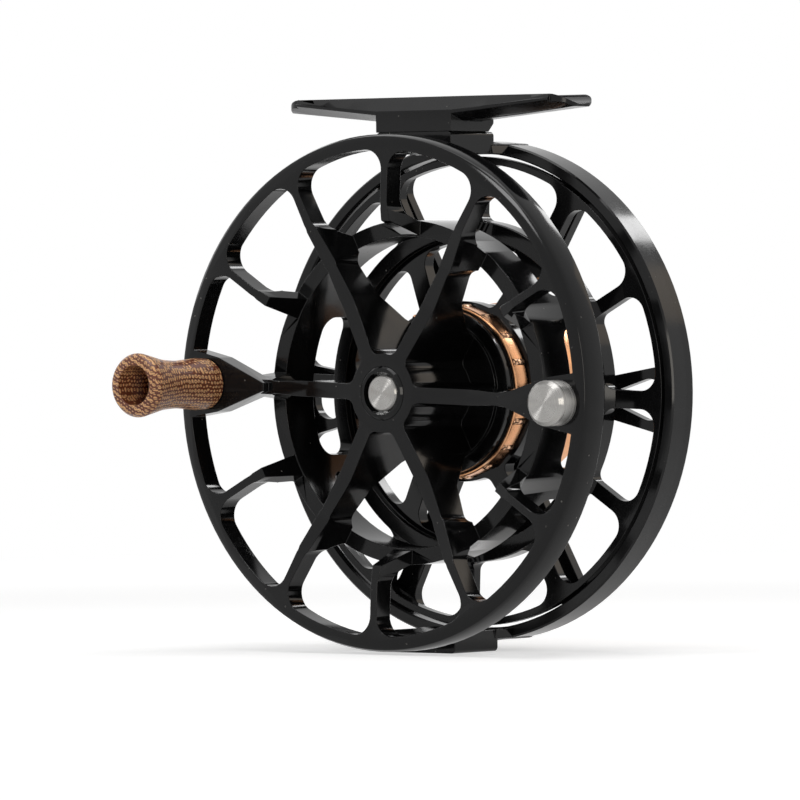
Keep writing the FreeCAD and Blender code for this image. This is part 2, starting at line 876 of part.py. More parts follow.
def make_hub():
    """What the spool turns on, and what keeps it there."""
    bearing_front = S.ring_seat_back
    bearing_back = bearing_front + S.small_bearing_width
    race = (S.small_bearing_radius - S.spindle_radius) * 0.3
    turned(
        "hub_ring",
        [
            (-S.ring_front, S.ring_bore),
            (S.ring_seat_back, S.ring_bore),
            (S.ring_seat_back, S.ring_seat_radius),
            (-S.hub_face, S.ring_seat_radius),
            (-S.ring_front, S.ring_seat_radius - 0.4),
        ],
    )
    turned(
        "spool_screw",
        [
            (-S.cap_front, 0),
            (S.screw_end, 0),
            (S.screw_end, S.screw_radius),
            (S.spindle_front, S.screw_radius),
            (S.spindle_front, S.cap_radius),
            (-S.cap_front + 0.35, S.cap_radius),
            (-S.cap_front, S.cap_radius - 0.35),
        ],
    )
    bearing("front", bearing_front, bearing_back, S.spindle_radius, S.small_bearing_radius, race)
    washer(
        "bearing_spacer",
        bearing_back,
        S.clutch_front,
        S.spindle_radius + 0.6,
        S.small_bearing_radius - S.running,
    )
    washer(
        "one_way_clutch",
        S.clutch_front,
        S.clutch_front + S.clutch_length,
        S.sleeve_radius + S.running,
        S.clutch_radius,
    )
    back_front = S.clutch_front + S.clutch_length + 0.1
    race = (S.large_bearing_radius - S.sleeve_radius) * 0.3
    back = back_front + S.large_bearing_width
    bearing("rear", back_front, back, S.sleeve_radius, S.large_bearing_radius, race)


def bearing(place, front, back, inner, outer, race):
    """A shielded ball bearing: its inner race, and its outer race with both shields."""
    shield = 0.3
    gap = S.running * 2
    middle = inner + race
    washer(place + "_bearing_inner", front, back, inner, middle)
    turned(
        place + "_bearing_outer",
        [
            (front, middle + gap),
            (front + shield, middle + gap),
            (front + shield, outer - race),
            (back - shield, outer - race),
            (back - shield, middle + gap),
            (back, middle + gap),
            (back, outer),
            (front, outer),
        ],
    )


def make_spindle():
    """The fixed spindle, and the nut that holds it in the frame's boss."""
    turned(
        "spindle",
        [
            (S.spindle_front, S.screw_radius + S.running),
            (S.screw_end + 0.5, S.screw_radius + S.running),
            (S.screw_end + 0.5, 0),
            (S.spindle_back, 0),
            (S.spindle_back, S.spindle_radius - 0.3),
            (S.spindle_back - 0.3, S.spindle_radius),
            (S.spindle_front, S.spindle_radius),
        ],
    )
    body = new_body("spindle_nut")
    sketch = face_sketch(body, "nut_outline", S.boss_back)
    hexagon(sketch, S.hub_flats - 0.3)
    circle(sketch, (0, 0), S.spindle_radius)
    pad(body, "nut", sketch, 2.0, backwards=True)
    seat(body)


def hexagon(sketch, half_flats):
    """A hexagon about the spool axis, given the distance from its middle to a flat."""
    reach = as_size(half_flats) / math.cos(math.pi / 6)
    polygon(sketch, [polar(reach, 60.0 * i) for i in range(6)])


# ---------------------------------------------------------------- frame


SIDE_ARM_DROP = 2.4
FRAME_ARMS = (
    (-SIDE_ARM_DROP, True),
    (60.0, False),
    (120.0, False),
    (180.0 + SIDE_ARM_DROP, True),
    (242.0, False),
    (298.0, False),
    (360.0 - SIDE_ARM_DROP, True),
)


def arm_edge(degrees, forked, side):
    """One edge of a frame arm, as its points at the drag housing and at the ring."""
    root = S.fork_root_half if forked else S.arm_root_half
    end = S.fork_end_half if forked else S.arm_end_half
    return beside(S.housing_radius, degrees, root * side), beside(S.frame_inside, degrees, end * side)


def frame_window(sketch, low_arm, high_arm):
    """The opening between two neighbouring arms of the frame."""
    low_root, low_end = arm_edge(*low_arm, 1)
    high_root, high_end = arm_edge(*high_arm, -1)
    edges = [
        line_between(low_root, low_end),
        arc_about((0, 0), S.frame_inside, True),
        line_between(high_end, high_root),
        arc_about((0, 0), S.housing_radius + 0.8, False),
    ]
    corners = [low_end, high_end, high_root, low_root]
    outline(sketch, edges, corners, [S.arm_round, S.arm_round, S.arch_round, S.arch_round])


def fork_eye(sketch, degrees):
    """The drop-shaped opening that makes a fork of a side arm."""
    polygon(
        sketch,
        [
            beside(S.fork_eye_tip, degrees, 0),
            beside(S.fork_eye_end, degrees, -S.fork_eye_half),
            beside(S.fork_eye_end, degrees, S.fork_eye_half),
        ],
        {0: 0.4, 1: S.fork_eye_round, 2: S.fork_eye_round},
    )


def bridge(body, name, front, back, height, flare):
    """A block over the spool's edge, hollow to the spool's own circle; flare widens its foot."""
    sketch = face_sketch(body, name + "_outline", front)
    inner = S.bridge_inside * 0.98
    low_left = (-(S.bridge_half + flare), inner)
    low_right = (S.bridge_half + flare, inner)
    high_left = (-S.bridge_half, height)
    high_right = (S.bridge_half, height)
    edges = [
        arc_about((0, 0), S.bridge_inside, False),
        line_between(low_right, high_right),
        line_between(high_right, high_left),
        line_between(high_left, low_left),
    ]
    corners = [low_right, high_right, high_left, low_left]
    outline(sketch, edges, corners, [None, 0.8, 0.8, None])
    return pad(body, name, sketch, back - front, backwards=True)


def make_frame():
    """The frame, one machined piece: back ring, six arms, drag housing and the two bridges."""
    body = new_body("reel_frame")
    sketch = axial_sketch(body, "frame_profile")
    chamfer = S.frame_chamfer
    polygon(
        sketch,
        [
            (S.housing_front + S.cover_thickness, S.cover_radius),
            (S.housing_front + S.cover_thickness, S.housing_inside),
            (S.housing_floor, S.housing_inside),
            (S.housing_floor, S.spindle_radius),
            (S.boss_back, S.spindle_radius),
            (S.boss_back, S.boss_radius),
            (S.housing_back, S.boss_radius),
            (S.housing_back, S.housing_radius),
            (S.frame_back, S.housing_radius + 1.0),
            (S.frame_back, S.frame_radius - chamfer),
            (S.frame_back - chamfer, S.frame_radius),
            (S.frame_front, S.frame_radius),
            (S.frame_front, S.frame_inside),
            (S.arm_front, S.frame_inside - 0.8),
            (S.arm_front, S.housing_radius + 1.6),
            (S.arm_front - 1.6, S.housing_radius),
            (S.housing_front, S.housing_radius),
            (S.housing_front, S.cover_radius),
        ],
    )
    revolve(body, "frame_turning", sketch)
    for number, (low_arm, high_arm) in enumerate(zip(FRAME_ARMS, FRAME_ARMS[1:]), start=1):
        sketch = face_sketch(body, "frame_window_outline_%d" % number, S.arm_front - 2.0)
        frame_window(sketch, low_arm, high_arm)
        pocket(body, "frame_window_%d" % number, sketch, 6.0)
    for name, degrees in (("right_fork_eye", -SIDE_ARM_DROP), ("left_fork_eye", 180.0 + SIDE_ARM_DROP)):
        sketch = face_sketch(body, name + "_outline", S.arm_front - 2.0)
        fork_eye(sketch, degrees)
        pocket(body, name, sketch, 6.0)
    low = bridge(body, "bridge", S.bridge_step - 1.0, S.frame_back, S.bridge_shoulder, S.bridge_flare)
    high = bridge(body, "bridge_block", S.bridge_front, S.bridge_step, S.bridge_height, 0.0)
    around(body, "bridges", [low, high], 2)
    sketch = face_sketch(body, "pin_hole_outline", S.housing_floor - 1.0)
    circle(sketch, polar(S.pin_circle, 90), S.pin_radius + S.running)
    pin_hole = pocket(body, "pin_hole", sketch, 6.0)
    sketch = face_sketch(body, "cover_screw_hole_outline", S.housing_front)
    circle(sketch, polar(S.cover_screw_circle, 30), S.cover_screw_radius)
    screw_hole = pocket(body, "cover_screw_hole", sketch, S.cover_thickness + 3.0)
    around(body, "drag_holes", [pin_hole, screw_hole], 3)
    sketch = add_sketch(body, "foot_screw_holes_outline", "XY_Plane", S.bridge_height)
    for side in (-1, 1):
        circle(sketch, (S.foot_screw_spread * side, S.foot_screw_back), S.foot_screw_radius)
    pocket(body, "foot_screw_holes", sketch, 6.0)
    sketch = add_sketch(body, "foot_screw_sinks_outline", "XY_Plane", S.bridge_inside + 0.6)
    for side in (-1, 1):
        circle(sketch, (S.foot_screw_spread * side, S.foot_screw_back), S.foot_screw_head)
    pocket(body, "foot_screw_sinks", sketch, 6.0)
    seat(body)
    return body


def foot_section(body, name, across, belly, chin, brow):
    """A section across the foot: flat on top, and its underside drawn in to a narrower belly."""
    sketch = add_sketch(body, name, "YZ_Plane", across)
    belly_half = (S.foot_rear - chin[0]) * 0.22
    belly_middle = (S.foot_rear + chin[0]) / 2
    polygon(
        sketch,
        [
            (belly_middle - belly_half, belly),
            (belly_middle + belly_half, belly),
            (S.foot_rear, brow),
            (S.foot_rear, S.foot_top),
            (S.foot_front, S.foot_top),
            chin,
            (chin[0], brow),
        ],
    )
    return sketch


def make_foot():
    """The reel foot: a saddle for the rod that thins to both tips, on a pedestal with a bare front."""
    body = new_body("reel_foot")
    chin = (S.foot_chin_front, S.foot_chin)
    brow = S.foot_chin - 0.6
    tip_chin = (S.foot_front - 0.4, S.foot_top - 0.6)
    tip_brow = S.foot_top - 0.9
    sections = [
        foot_section(body, "left_tip", -S.foot_half, S.tip_belly, tip_chin, tip_brow),
        foot_section(body, "left_root", -S.bridge_half, S.foot_belly, chin, brow),
        foot_section(body, "right_root", S.bridge_half, S.foot_belly, chin, brow),
        foot_section(body, "right_tip", S.foot_half, S.tip_belly, tip_chin, tip_brow),
    ]
    loft = body.newObject("PartDesign::AdditiveLoft", "blade")
    loft.Profile = sections[0]
    loft.Sections = sections[1:]
    loft.Ruled = True
    doc.recompute()
    sketch = add_sketch(body, "saddle_outline", "YZ_Plane")
    circle(sketch, ((S.foot_front + S.foot_rear) / 2, S.axle_drop + S.saddle_radius), S.saddle_radius)
    pocket(body, "saddle", sketch, S.foot_half * 3, both_ways=True)
    sketch = add_sketch(body, "pedestal_outline", "YZ_Plane")
    polygon(
        sketch,
        [
            (S.bridge_front, S.bridge_height),
            (S.bridge_step - 1.5, S.bridge_height),
            (S.bridge_step, S.bridge_height + 1.5),
            (S.bridge_step, brow + 0.2),
            (S.foot_chin_front, brow + 0.2),
        ],
    )
    pad(body, "pedestal", sketch, S.bridge_half * 2, both_ways=True)
    sketch = add_sketch(body, "tip_corners", "XY_Plane", S.foot_top + 1.0)
    tip_corner(sketch, S.foot_front - 1.0, 1)
    tip_corner(sketch, S.foot_rear + 1.0, -1)
    corners = pocket(body, "tip_rounding", sketch, 12.0)
    mirror = body.newObject("PartDesign::Mirrored", "both_tips")
    mirror.Originals = [corners]
    for feature_of_origin in body.Origin.OriginFeatures:
        if feature_of_origin.Role == "YZ_Plane":
            mirror.MirrorPlane = (feature_of_origin, [""])
    body.Tip = mirror
    doc.recompute()
    sketch = add_sketch(body, "foot_thread_outline", "XY_Plane", S.bridge_height)
    for side in (-1, 1):
        circle(sketch, (S.foot_screw_spread * side, S.foot_screw_back), S.foot_screw_radius)
    pocket(body, "foot_threads", sketch, S.foot_screw_top - S.bridge_height, forwards=True)
    seat(body)
    screws = []
    for name, side in (("left_foot_screw", -1), ("right_foot_screw", 1)):
        screw = new_body(name)
        sketch = add_sketch(screw, name + "_profile", "XZ_Plane")
        sink = S.bridge_inside + 0.6
        polygon(
            sketch,
            [
                (0, sink - 0.75),
                (S.foot_screw_head, sink - 0.75),
                (S.foot_screw_head, sink),
                (S.foot_screw_radius, sink),
                (S.foot_screw_radius, S.foot_screw_top),
                (0, S.foot_screw_top),
            ],
        )
        revolve(screw, name + "_turning", sketch, axis="V_Axis")
        seat(screw)
        bind(screw, "Placement.Base.x", S.foot_screw_spread * side)
        bind(screw, "Placement.Base.y", S.foot_screw_back - S.foot_back)
        screws.append(screw)
    group("foot_screws", screws)


def tip_corner(sketch, edge, side):
    """What is cut off a corner of the foot's tip; side is 1 at the front edge and -1 at the rear."""
    end = S.foot_half
    radius = S.tip_round
    inner = end - radius
    level = as_size(edge) + Size(1.0, "1") * side + radius * side
    beyond = as_size(edge) - Size(4.0, "4") * side
    out = end + 3.0
    arc = arc_about((inner, level), radius, False)
    if side > 0:
        edges = [
            line_between((inner, beyond), (out, beyond)),
            line_between((out, beyond), (out, level)),
            line_between((out, level), (end, level)),
            arc,
            line_between((inner, level - radius), (inner, beyond)),
        ]
        corners = [(out, beyond), (out, level), (end, level), (inner, level - radius), (inner, beyond)]
    else:
        edges = [
            line_between((inner, beyond), (inner, level + radius)),
            arc,
            line_between((end, level), (out, level)),
            line_between((out, level), (out, beyond)),
            line_between((out, beyond), (inner, beyond)),
        ]
        corners = [(inner, level + radius), (end, level), (out, level), (out, beyond), (inner, beyond)]
    outline(sketch, edges, corners, [None] * 5)


# ---------------------------------------------------------------- handle and counterweight


def seat_on_crank(body, degrees):
    """Puts a piece turned about its own axis on the rim, straight across from the hub."""
    bind(body, "Placement.Base.x", S.crank_radius * math.cos(math.radians(degrees)) * cosine(S.rest_turn))
    height = S.crank_radius * -math.cos(math.radians(degrees)) * sine(S.rest_turn)
    bind(body, "Placement.Base.z", height - S.axle_drop)


def cosine(size):
    return Size(math.cos(math.radians(size.number)), "cos(%s)" % size.text)


def sine(size):
    return Size(math.sin(math.radians(size.number)), "sin(%s)" % size.text)


def make_handle():
    base = -S.rim_front - 0.2
    end = base - S.grip_length
    bore_end = end + S.grip_bore_depth
    grip = turned(
        "handle_grip",
        [
            (end, S.grip_bore),
            (bore_end, S.grip_bore),
            (bore_end, S.bushing_radius),
            (base, S.bushing_radius),
            (base, 4.7),
            (base - 2.5, 4.77),
            (base - 8.2, 4.36),
            (base - 12.6, 4.6),
            (base - 18.9, 5.92),
            (end + 0.2, 5.3),
            (end, 4.9),
        ],
        {5: 3.0, 6: 14.0, 7: 20.0, 8: 0.9},
    )
    seat_on_crank(grip, 180)
    bushings = []
    for name, front, back in (
        ("front_bushing", bore_end, bore_end + 3.4),
        ("back_bushing", base - 3.4, base),
    ):
        bushings.append(washer(name, front, back, S.shank_radius + S.running, S.bushing_radius))
        seat_on_crank(bushings[-1], 180)
    group("handle_bushings", bushings)
    head = bore_end - 0.1
    screw = turned(
        "handle_screw",
        [
            (head - 2.2, 0),
            (S.flange_back, 0),
            (S.flange_back, S.shank_radius),
            (head, S.shank_radius),
            (head, S.grip_bore - 0.5),
            (head - 1.9, S.grip_bore - 0.5),
            (head - 2.2, S.grip_bore - 0.8),
        ],
    )
    sketch = face_sketch(screw, "handle_screw_socket", head - 2.2)
    hexagon(sketch, 1.25)
    pocket(screw, "socket", sketch, 1.4)
    seat_on_crank(screw, 180)


def make_counterweight():
    base = -S.rim_front
    top = base - S.weight_height
    chamfer = S.weight_chamfer
    weight = turned(
        "counterweight",
        [
            (top, 0),
            (top + 1.2, 0),
            (top + 1.2, S.weight_screw_radius),
            (base, S.weight_screw_radius),
            (base, S.weight_radius),
            (top + chamfer, S.weight_radius),
            (top, S.weight_radius - chamfer),
        ],
    )
    seat_on_crank(weight, 0)
    screw = turned(
        "counterweight_screw",
        [
            (top + 1.3, 0),
            (S.flange_back + 1.1, 0),
            (S.flange_back + 1.1, S.weight_screw_radius * 1.6),
            (S.flange_back + 0.8, S.weight_screw_radius * 1.9),
            (S.flange_back, S.weight_screw_radius * 1.9),
            (S.flange_back, S.weight_screw_radius),
            (top + 1.3, S.weight_screw_radius),
        ],
    )
    seat_on_crank(screw, 0)


def group(name, pieces):
    """Several like pieces under one name, each still a solid of its own."""
    made = doc.addObject("Part::Compound", name)
    made.Label = name
    made.Links = pieces
    for piece in pieces:
        piece.Label = name + "_" + piece.Name
    doc.recompute()
    return made


# ---------------------------------------------------------------- drag


def make_drag():
    front = S.housing_front + S.cover_thickness
    disc_one = front + S.running
    rotor = disc_one + S.disc_thickness + S.stack_gap
    disc_two = rotor + S.rotor_thickness + S.stack_gap
    plate = disc_two + S.disc_thickness + S.plate_travel + S.running

    cover = turned(
        "drag_cover",
        [
            (S.housing_front, S.cover_bore + 1.0),
            (S.housing_front + 0.3, S.cover_bore + 1.0),
            (S.housing_front + 0.3, S.cover_bore),
            (front, S.cover_bore),
            (front, S.cover_radius),
            (S.housing_front, S.cover_radius),
        ],
    )
    sketch = face_sketch(cover, "cover_screw_outline", S.housing_front)
    circle(sketch, polar(S.cover_screw_circle, 30), S.cover_screw_radius)
    hole = pocket(cover, "cover_screw_hole", sketch, S.cover_thickness)
    sketch = face_sketch(cover, "cover_screw_sink_outline", S.housing_front)
    circle(sketch, polar(S.cover_screw_circle, 30), S.cover_screw_radius + 0.45)
    sink = pocket(cover, "cover_screw_sink", sketch, 0.6)
    around(cover, "cover_screw_holes", [hole, sink], 3)
    sketch = face_sketch(cover, "pawl_pin_outline", S.housing_front)
    circle(sketch, (0, S.pawl_pivot), S.pawl_pin_radius)
    pocket(cover, "pawl_pin_hole", sketch, S.cover_thickness)

    screws = []
    for i in range(3):
        screw = turned(
            "cover_screw_%d" % (i + 1),
            [
                (S.housing_front, 0),
                (front + 2.5, 0),
                (front + 2.5, S.cover_screw_radius),
                (S.housing_front + 0.6, S.cover_screw_radius),
                (S.housing_front + 0.6, S.cover_screw_radius + 0.45),
                (S.housing_front, S.cover_screw_radius + 0.45),
            ],
        )
        at = polar(S.cover_screw_circle, 30 + 120 * i)
        bind(screw, "Placement.Base.x", at[0])
        bind(screw, "Placement.Base.z", at[1] - S.axle_drop)
        screws.append(screw)
    group("cover_screws", screws)

    turned(
        "drag_seal",
        [
            (S.housing_front + 0.35, S.sleeve_radius + S.running),
            (front - 0.1, S.sleeve_radius + S.running),
            (front - 0.1, S.cover_bore),
            (S.housing_front + 0.35, S.cover_bore),
        ],
    )
    washer("front_drag_disc", disc_one, disc_one + S.disc_thickness, S.disc_inner, S.disc_outer)
    washer("rear_drag_disc", disc_two, disc_two + S.disc_thickness, S.disc_inner, S.disc_outer)

    body = new_body("drag_rotor")
    sketch = face_sketch(body, "rotor_outline", rotor)
    circle(sketch, (0, 0), S.disc_outer)
    hexagon(sketch, S.hub_flats)
    pad(body, "rotor", sketch, S.rotor_thickness, backwards=True)
    seat(body)

    hub = turned(
        "drag_hub",
        [
            (S.clutch_front + 0.2, S.spindle_radius + S.running),
            (plate - 0.2, S.spindle_radius + S.running),
            (plate - 0.2, S.sleeve_radius),
            (S.clutch_front + 0.5, S.sleeve_radius),
            (S.clutch_front + 0.2, S.sleeve_radius - 0.3),
        ],
    )
    sketch = face_sketch(hub, "hub_hexagon", front + 0.2)
    hexagon(sketch, S.hub_flats)
    circle(sketch, (0, 0), S.spindle_radius + S.running)
    pad(hub, "hub_drive", sketch, disc_two - front - 0.2, backwards=True)

    washer("pressure_plate", plate, plate + S.plate_thickness - 0.1, S.disc_inner - 0.8, S.disc_outer)
    pins = []
    for i in range(3):
        pin = turned(
            "drag_pin_%d" % (i + 1),
            [
                (plate + S.plate_thickness - 0.1, 0),
                (S.thrust_front, 0),
                (S.thrust_front, S.pin_radius),
                (plate + S.plate_thickness - 0.1, S.pin_radius),
            ],
        )
        at = polar(S.pin_circle, 90 + 120 * i)
        bind(pin, "Placement.Base.x", at[0])
        bind(pin, "Placement.Base.z", at[1] - S.axle_drop)
        pins.append(pin)
    group("drag_pins", pins)
    washer("thrust_ring", S.thrust_front, S.thrust_back, S.thrust_inner, S.thrust_outer)
    springs = []
    middle = S.thrust_back + S.spring_dish + S.spring_thickness
    for name, inner, outer in (
        ("front_spring", S.thrust_back + S.spring_dish, S.thrust_back),
        ("back_spring", middle, middle + S.spring_dish),
    ):
        springs.append(
            turned(
                name,
                [
                    (inner, S.thrust_inner),
                    (inner + S.spring_thickness, S.thrust_inner),
                    (outer + S.spring_thickness, S.thrust_outer),
                    (outer, S.thrust_outer),
                ],
            )
        )
    group("spring_washers", springs)


def make_knob():
    """The drag knob: a rim with ports all round, a thin web, and its threaded insert."""
    knob = turned(
        "drag_knob",
        [
            (S.insert_front, S.insert_radius),
            (S.knob_back, S.insert_radius),
            (S.knob_back, S.knob_radius - 1.0),
            (S.knob_back - 1.0, S.knob_radius),
            (S.knob_front + 0.6, S.knob_radius),
            (S.knob_front, S.knob_radius - 0.6),
            (S.knob_front, S.knob_radius - S.knob_rim),
            (S.knob_back - S.knob_web, S.knob_radius - S.knob_rim),
            (S.knob_back - S.knob_web, S.knob_hub),
            (S.insert_front, S.knob_hub),
        ],
    )
    sketch = add_sketch(knob, "knob_port_outline", "YZ_Plane", S.knob_hub + 1.5)
    middle = (S.knob_front + S.knob_back - S.knob_web) / 2
    polygon(
        sketch,
        [
            (middle - S.port_wide, -S.port_long),
            (middle + S.port_wide, -S.port_long),
            (middle + S.port_wide, S.port_long),
            (middle - S.port_wide, S.port_long),
        ],
    )
    port = pocket(knob, "knob_port", sketch, S.knob_radius, forwards=True)
    around(knob, "knob_ports", [port], 12)
    washer("knob_insert", S.insert_front, S.insert_back, S.boss_radius + S.running, S.insert_radius)
    turned(
        "knob_cap",
        [
            (S.insert_back, 0),
            (S.knob_back - 0.2, 0),
            (S.knob_back - 0.2, S.insert_radius - 0.4),
            (S.knob_back - 0.6, S.insert_radius),
            (S.insert_back, S.insert_radius),
        ],
    )


# ---------------------------------------------------------------- click work

GEAR_TEETH = 48
PAWL_ANGLE = 62.0


def make_click():
    """The toothed ring on the spool, and the sprung pawl on the drag cover that clicks over it."""
    body = new_body("click_gear")
    sketch = face_sketch(body, "gear_blank", S.gear_front)
    circle(sketch, (0, 0), S.gear_radius)
    circle(sketch, (0, 0), S.gear_bore)
    pad(body, "blank", sketch, S.gear_seat_back - S.gear_front, backwards=True)
    sketch = face_sketch(body, "tooth_gap_outline", S.gear_front - 0.5)
    tip = S.gear_radius + 0.1
    half = (S.gear_radius - S.gear_root) * 0.75
    polygon(sketch, [(S.gear_root, 0), (tip, -half), (tip, half)])
    gap = pocket(body, "tooth_gap", sketch, 4.0)
    around(body, "teeth", [gap], GEAR_TEETH)
    seat(body, -PAWL_ANGLE)

    pawl = new_body("click_pawl")
    sketch = face_sketch(pawl, "pawl_outline", S.pawl_front)
    nose = polar(S.gear_root + 0.5, PAWL_ANGLE)
    nose_left = polar(1.2, PAWL_ANGLE + 30.0)
    nose_right = polar(1.2, PAWL_ANGLE - 30.0)
    polygon(
        sketch,
        [
            (-1.3, S.pawl_pivot - 1.0),
            (3.2, S.pawl_pivot - 1.4),
            (nose[0] + nose_left[0], nose[1] + nose_left[1]),
            nose,
            (nose[0] + nose_right[0], nose[1] + nose_right[1]),
            (6.3, S.pawl_pivot - 1.9),
            (3.2, S.pawl_pivot + 0.6),
            (-1.3, S.pawl_pivot + 1.0),
        ],
        {0: 0.8, 7: 0.8},
    )
    circle(sketch, (0, S.pawl_pivot), S.pawl_pin_radius + S.running)
    pad(pawl, "pawl", sketch, S.pawl_thickness, backwards=True)
    seat(pawl)
    pin = turned(
        "pawl_pin",
        [
            (S.pawl_front - 0.3, 0),
            (S.housing_front + S.cover_thickness, 0),
            (S.housing_front + S.cover_thickness, S.pawl_pin_radius),
            (S.pawl_front - 0.3, S.pawl_pin_radius),
        ],
    )
    bind(pin, "Placement.Base.z", S.pawl_pivot - S.axle_drop)
    spring = new_body("pawl_spring")
    sketch = face_sketch(spring, "leaf_outline", S.pawl_front + 0.2)
    level = S.pawl_pivot - 0.15
    polygon(
        sketch,
        [
            (-5.2, level - 0.75),
            (-3.9, level - 0.75),
            (-3.9, level),
            (-1.4, level),
            (-1.4, level + 0.3),
            (-5.2, level + 0.3),
        ],
    )
    pad(spring, "leaf", sketch, S.housing_front - S.pawl_front - 0.2, backwards=True)
    seat(spring)


make_spool()
make_hub()
make_spindle()
make_frame()
make_foot()
make_handle()
make_counterweight()
make_drag()
make_knob()
make_click()
doc.recompute()
grouped = set()
for item in doc.Objects:
    if item.TypeId == "Part::Compound":
        grouped.update(link.Name for link in item.Links)

nodes = []
for item in doc.Objects:
    if "Invalid" in item.State or "Error" in item.State:
        raise RuntimeError("%s did not build: %s" % (item.Label, item.State))
    if item.TypeId in ("PartDesign::Body", "Part::Compound", "Part::Feature") and item.Name not in grouped:
        nodes.append(item)
for node in nodes:
    if node.Shape.isNull() or not node.Shape.isValid():
        raise RuntimeError("%s has no sound shape" % node.Label)
os.makedirs("parts", exist_ok=True)
for node in nodes:
    node.Shape.exportStep("parts/%s.step" % node.Label)
    print(node.Label, len(node.Shape.Solids), round(node.Shape.Volume, 1))
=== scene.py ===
import json
import math

import bmesh
import bpy
from mathutils import Matrix, Vector


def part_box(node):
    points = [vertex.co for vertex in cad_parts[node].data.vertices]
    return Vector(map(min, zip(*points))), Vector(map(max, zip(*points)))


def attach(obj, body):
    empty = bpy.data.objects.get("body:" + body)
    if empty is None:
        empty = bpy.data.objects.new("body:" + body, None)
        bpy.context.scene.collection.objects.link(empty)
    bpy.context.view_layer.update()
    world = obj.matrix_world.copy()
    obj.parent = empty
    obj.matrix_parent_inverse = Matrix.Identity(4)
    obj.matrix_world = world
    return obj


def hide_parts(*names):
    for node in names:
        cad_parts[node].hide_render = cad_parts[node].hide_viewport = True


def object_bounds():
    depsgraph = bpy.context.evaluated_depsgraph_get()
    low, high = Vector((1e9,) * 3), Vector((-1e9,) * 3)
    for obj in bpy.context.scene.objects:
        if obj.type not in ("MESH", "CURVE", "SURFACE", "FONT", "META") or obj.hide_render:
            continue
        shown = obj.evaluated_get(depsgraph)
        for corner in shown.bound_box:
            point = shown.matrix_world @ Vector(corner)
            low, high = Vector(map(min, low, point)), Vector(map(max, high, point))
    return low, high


# A large-arbor fly reel: gloss black spool and frame, canvas handle grip, turned steel and bronze details.
# Metres, +Z up, the rod along X and the spool axis along Y.

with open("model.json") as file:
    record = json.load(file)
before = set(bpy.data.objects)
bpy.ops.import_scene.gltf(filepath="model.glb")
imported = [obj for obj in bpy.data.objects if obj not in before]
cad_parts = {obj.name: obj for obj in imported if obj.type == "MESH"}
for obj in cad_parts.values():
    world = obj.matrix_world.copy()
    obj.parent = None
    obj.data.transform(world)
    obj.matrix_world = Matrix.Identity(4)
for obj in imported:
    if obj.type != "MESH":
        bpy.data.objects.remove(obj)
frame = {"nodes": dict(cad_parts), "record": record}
cad_low, cad_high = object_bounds()

MM = 0.001
MM_PER_METRE = 1000.0
SPOOL_AXIS = Vector((0.0, -0.0173, -0.0521))
FLOOR_LEVEL = cad_low.z

NODE_BODY = {}
for body_name, members in frame["record"]["behaviour"]["bodies"].items():
    for member in members:
        NODE_BODY[member] = body_name


# ---------------------------------------------------------------- node tree helpers


class Tree:
    """Adds nodes to a node tree and joins them, with fewer words."""

    def __init__(self, tree):
        self.tree = tree

    def node(self, kind, settings=None, **inputs):
        made = self.tree.nodes.new(kind)
        for name, value in (settings or {}).items():
            setattr(made, name, value)
        for name, value in inputs.items():
            self.feed(made.inputs[name.replace("_", " ")], value)
        return made

    def feed(self, socket, value):
        if isinstance(value, bpy.types.NodeSocket):
            self.tree.links.new(value, socket)
        else:
            socket.default_value = value

    def math(self, operation, first, second=None):
        made = self.tree.nodes.new("ShaderNodeMath")
        made.operation = operation
        self.feed(made.inputs[0], first)
        if second is not None:
            self.feed(made.inputs[1], second)
        return made.outputs[0]

    def vector(self, operation, first, second=None):
        made = self.tree.nodes.new("ShaderNodeVectorMath")
        made.operation = operation
        self.feed(made.inputs[0], first)
        if second is not None:
            self.feed(made.inputs[1], second)
        return made.outputs["Value"] if operation in ("LENGTH", "DOT_PRODUCT") else made.outputs[0]

    def between(self, value, low, high, out_low=0.0, out_high=1.0):
        made = self.node("ShaderNodeMapRange", {"clamp": True, "interpolation_type": "SMOOTHSTEP"})
        for name, number in (("Value", value), ("From Min", low), ("From Max", high)):
            self.feed(made.inputs[name], number)
        self.feed(made.inputs["To Min"], out_low)
        self.feed(made.inputs["To Max"], out_high)
        return made.outputs["Result"]

    def mix(self, factor, first, second):
        made = self.tree.nodes.new("ShaderNodeMix")
        made.data_type = "RGBA"
        self.feed(made.inputs["Factor"], factor)
        self.feed(made.inputs[6], first)
        self.feed(made.inputs[7], second)
        return made.outputs[2]

    def noise(self, vector, scale, detail=3.0, roughness=0.5):
        made = self.node("ShaderNodeTexNoise")
        self.feed(made.inputs["Vector"], vector)
        self.feed(made.inputs["Scale"], scale)
        made.inputs["Detail"].default_value = detail
        made.inputs["Roughness"].default_value = roughness
        return made.outputs["Fac"]


def colour(red, green, blue):
    return (red, green, blue, 1.0)


def shaded(shade, share):
    """A finish's colour made deeper or paler by a share."""
    return colour(*(value * share for value in shade))


def shader_group(name, inputs, outputs):
    """A new node group with named sockets, whose inputs are (name, kind, default)."""
    group = bpy.data.node_groups.new(name, "ShaderNodeTree")
    for socket_name, kind, default in inputs:
        socket = group.interface.new_socket(name=socket_name, in_out="INPUT", socket_type=kind)
        socket.default_value = default
    for socket_name, kind in outputs:
        group.interface.new_socket(name=socket_name, in_out="OUTPUT", socket_type=kind)
    tree = Tree(group)
    start = group.nodes.new("NodeGroupInput")
    finish = group.nodes.new("NodeGroupOutput")
    return group, tree, start.outputs, finish.inputs


FLOAT = "NodeSocketFloat"
VECTOR = "NodeSocketVector"
WHOLE_NUMBER = "NodeSocketInt"
MATERIAL = "NodeSocketMaterial"


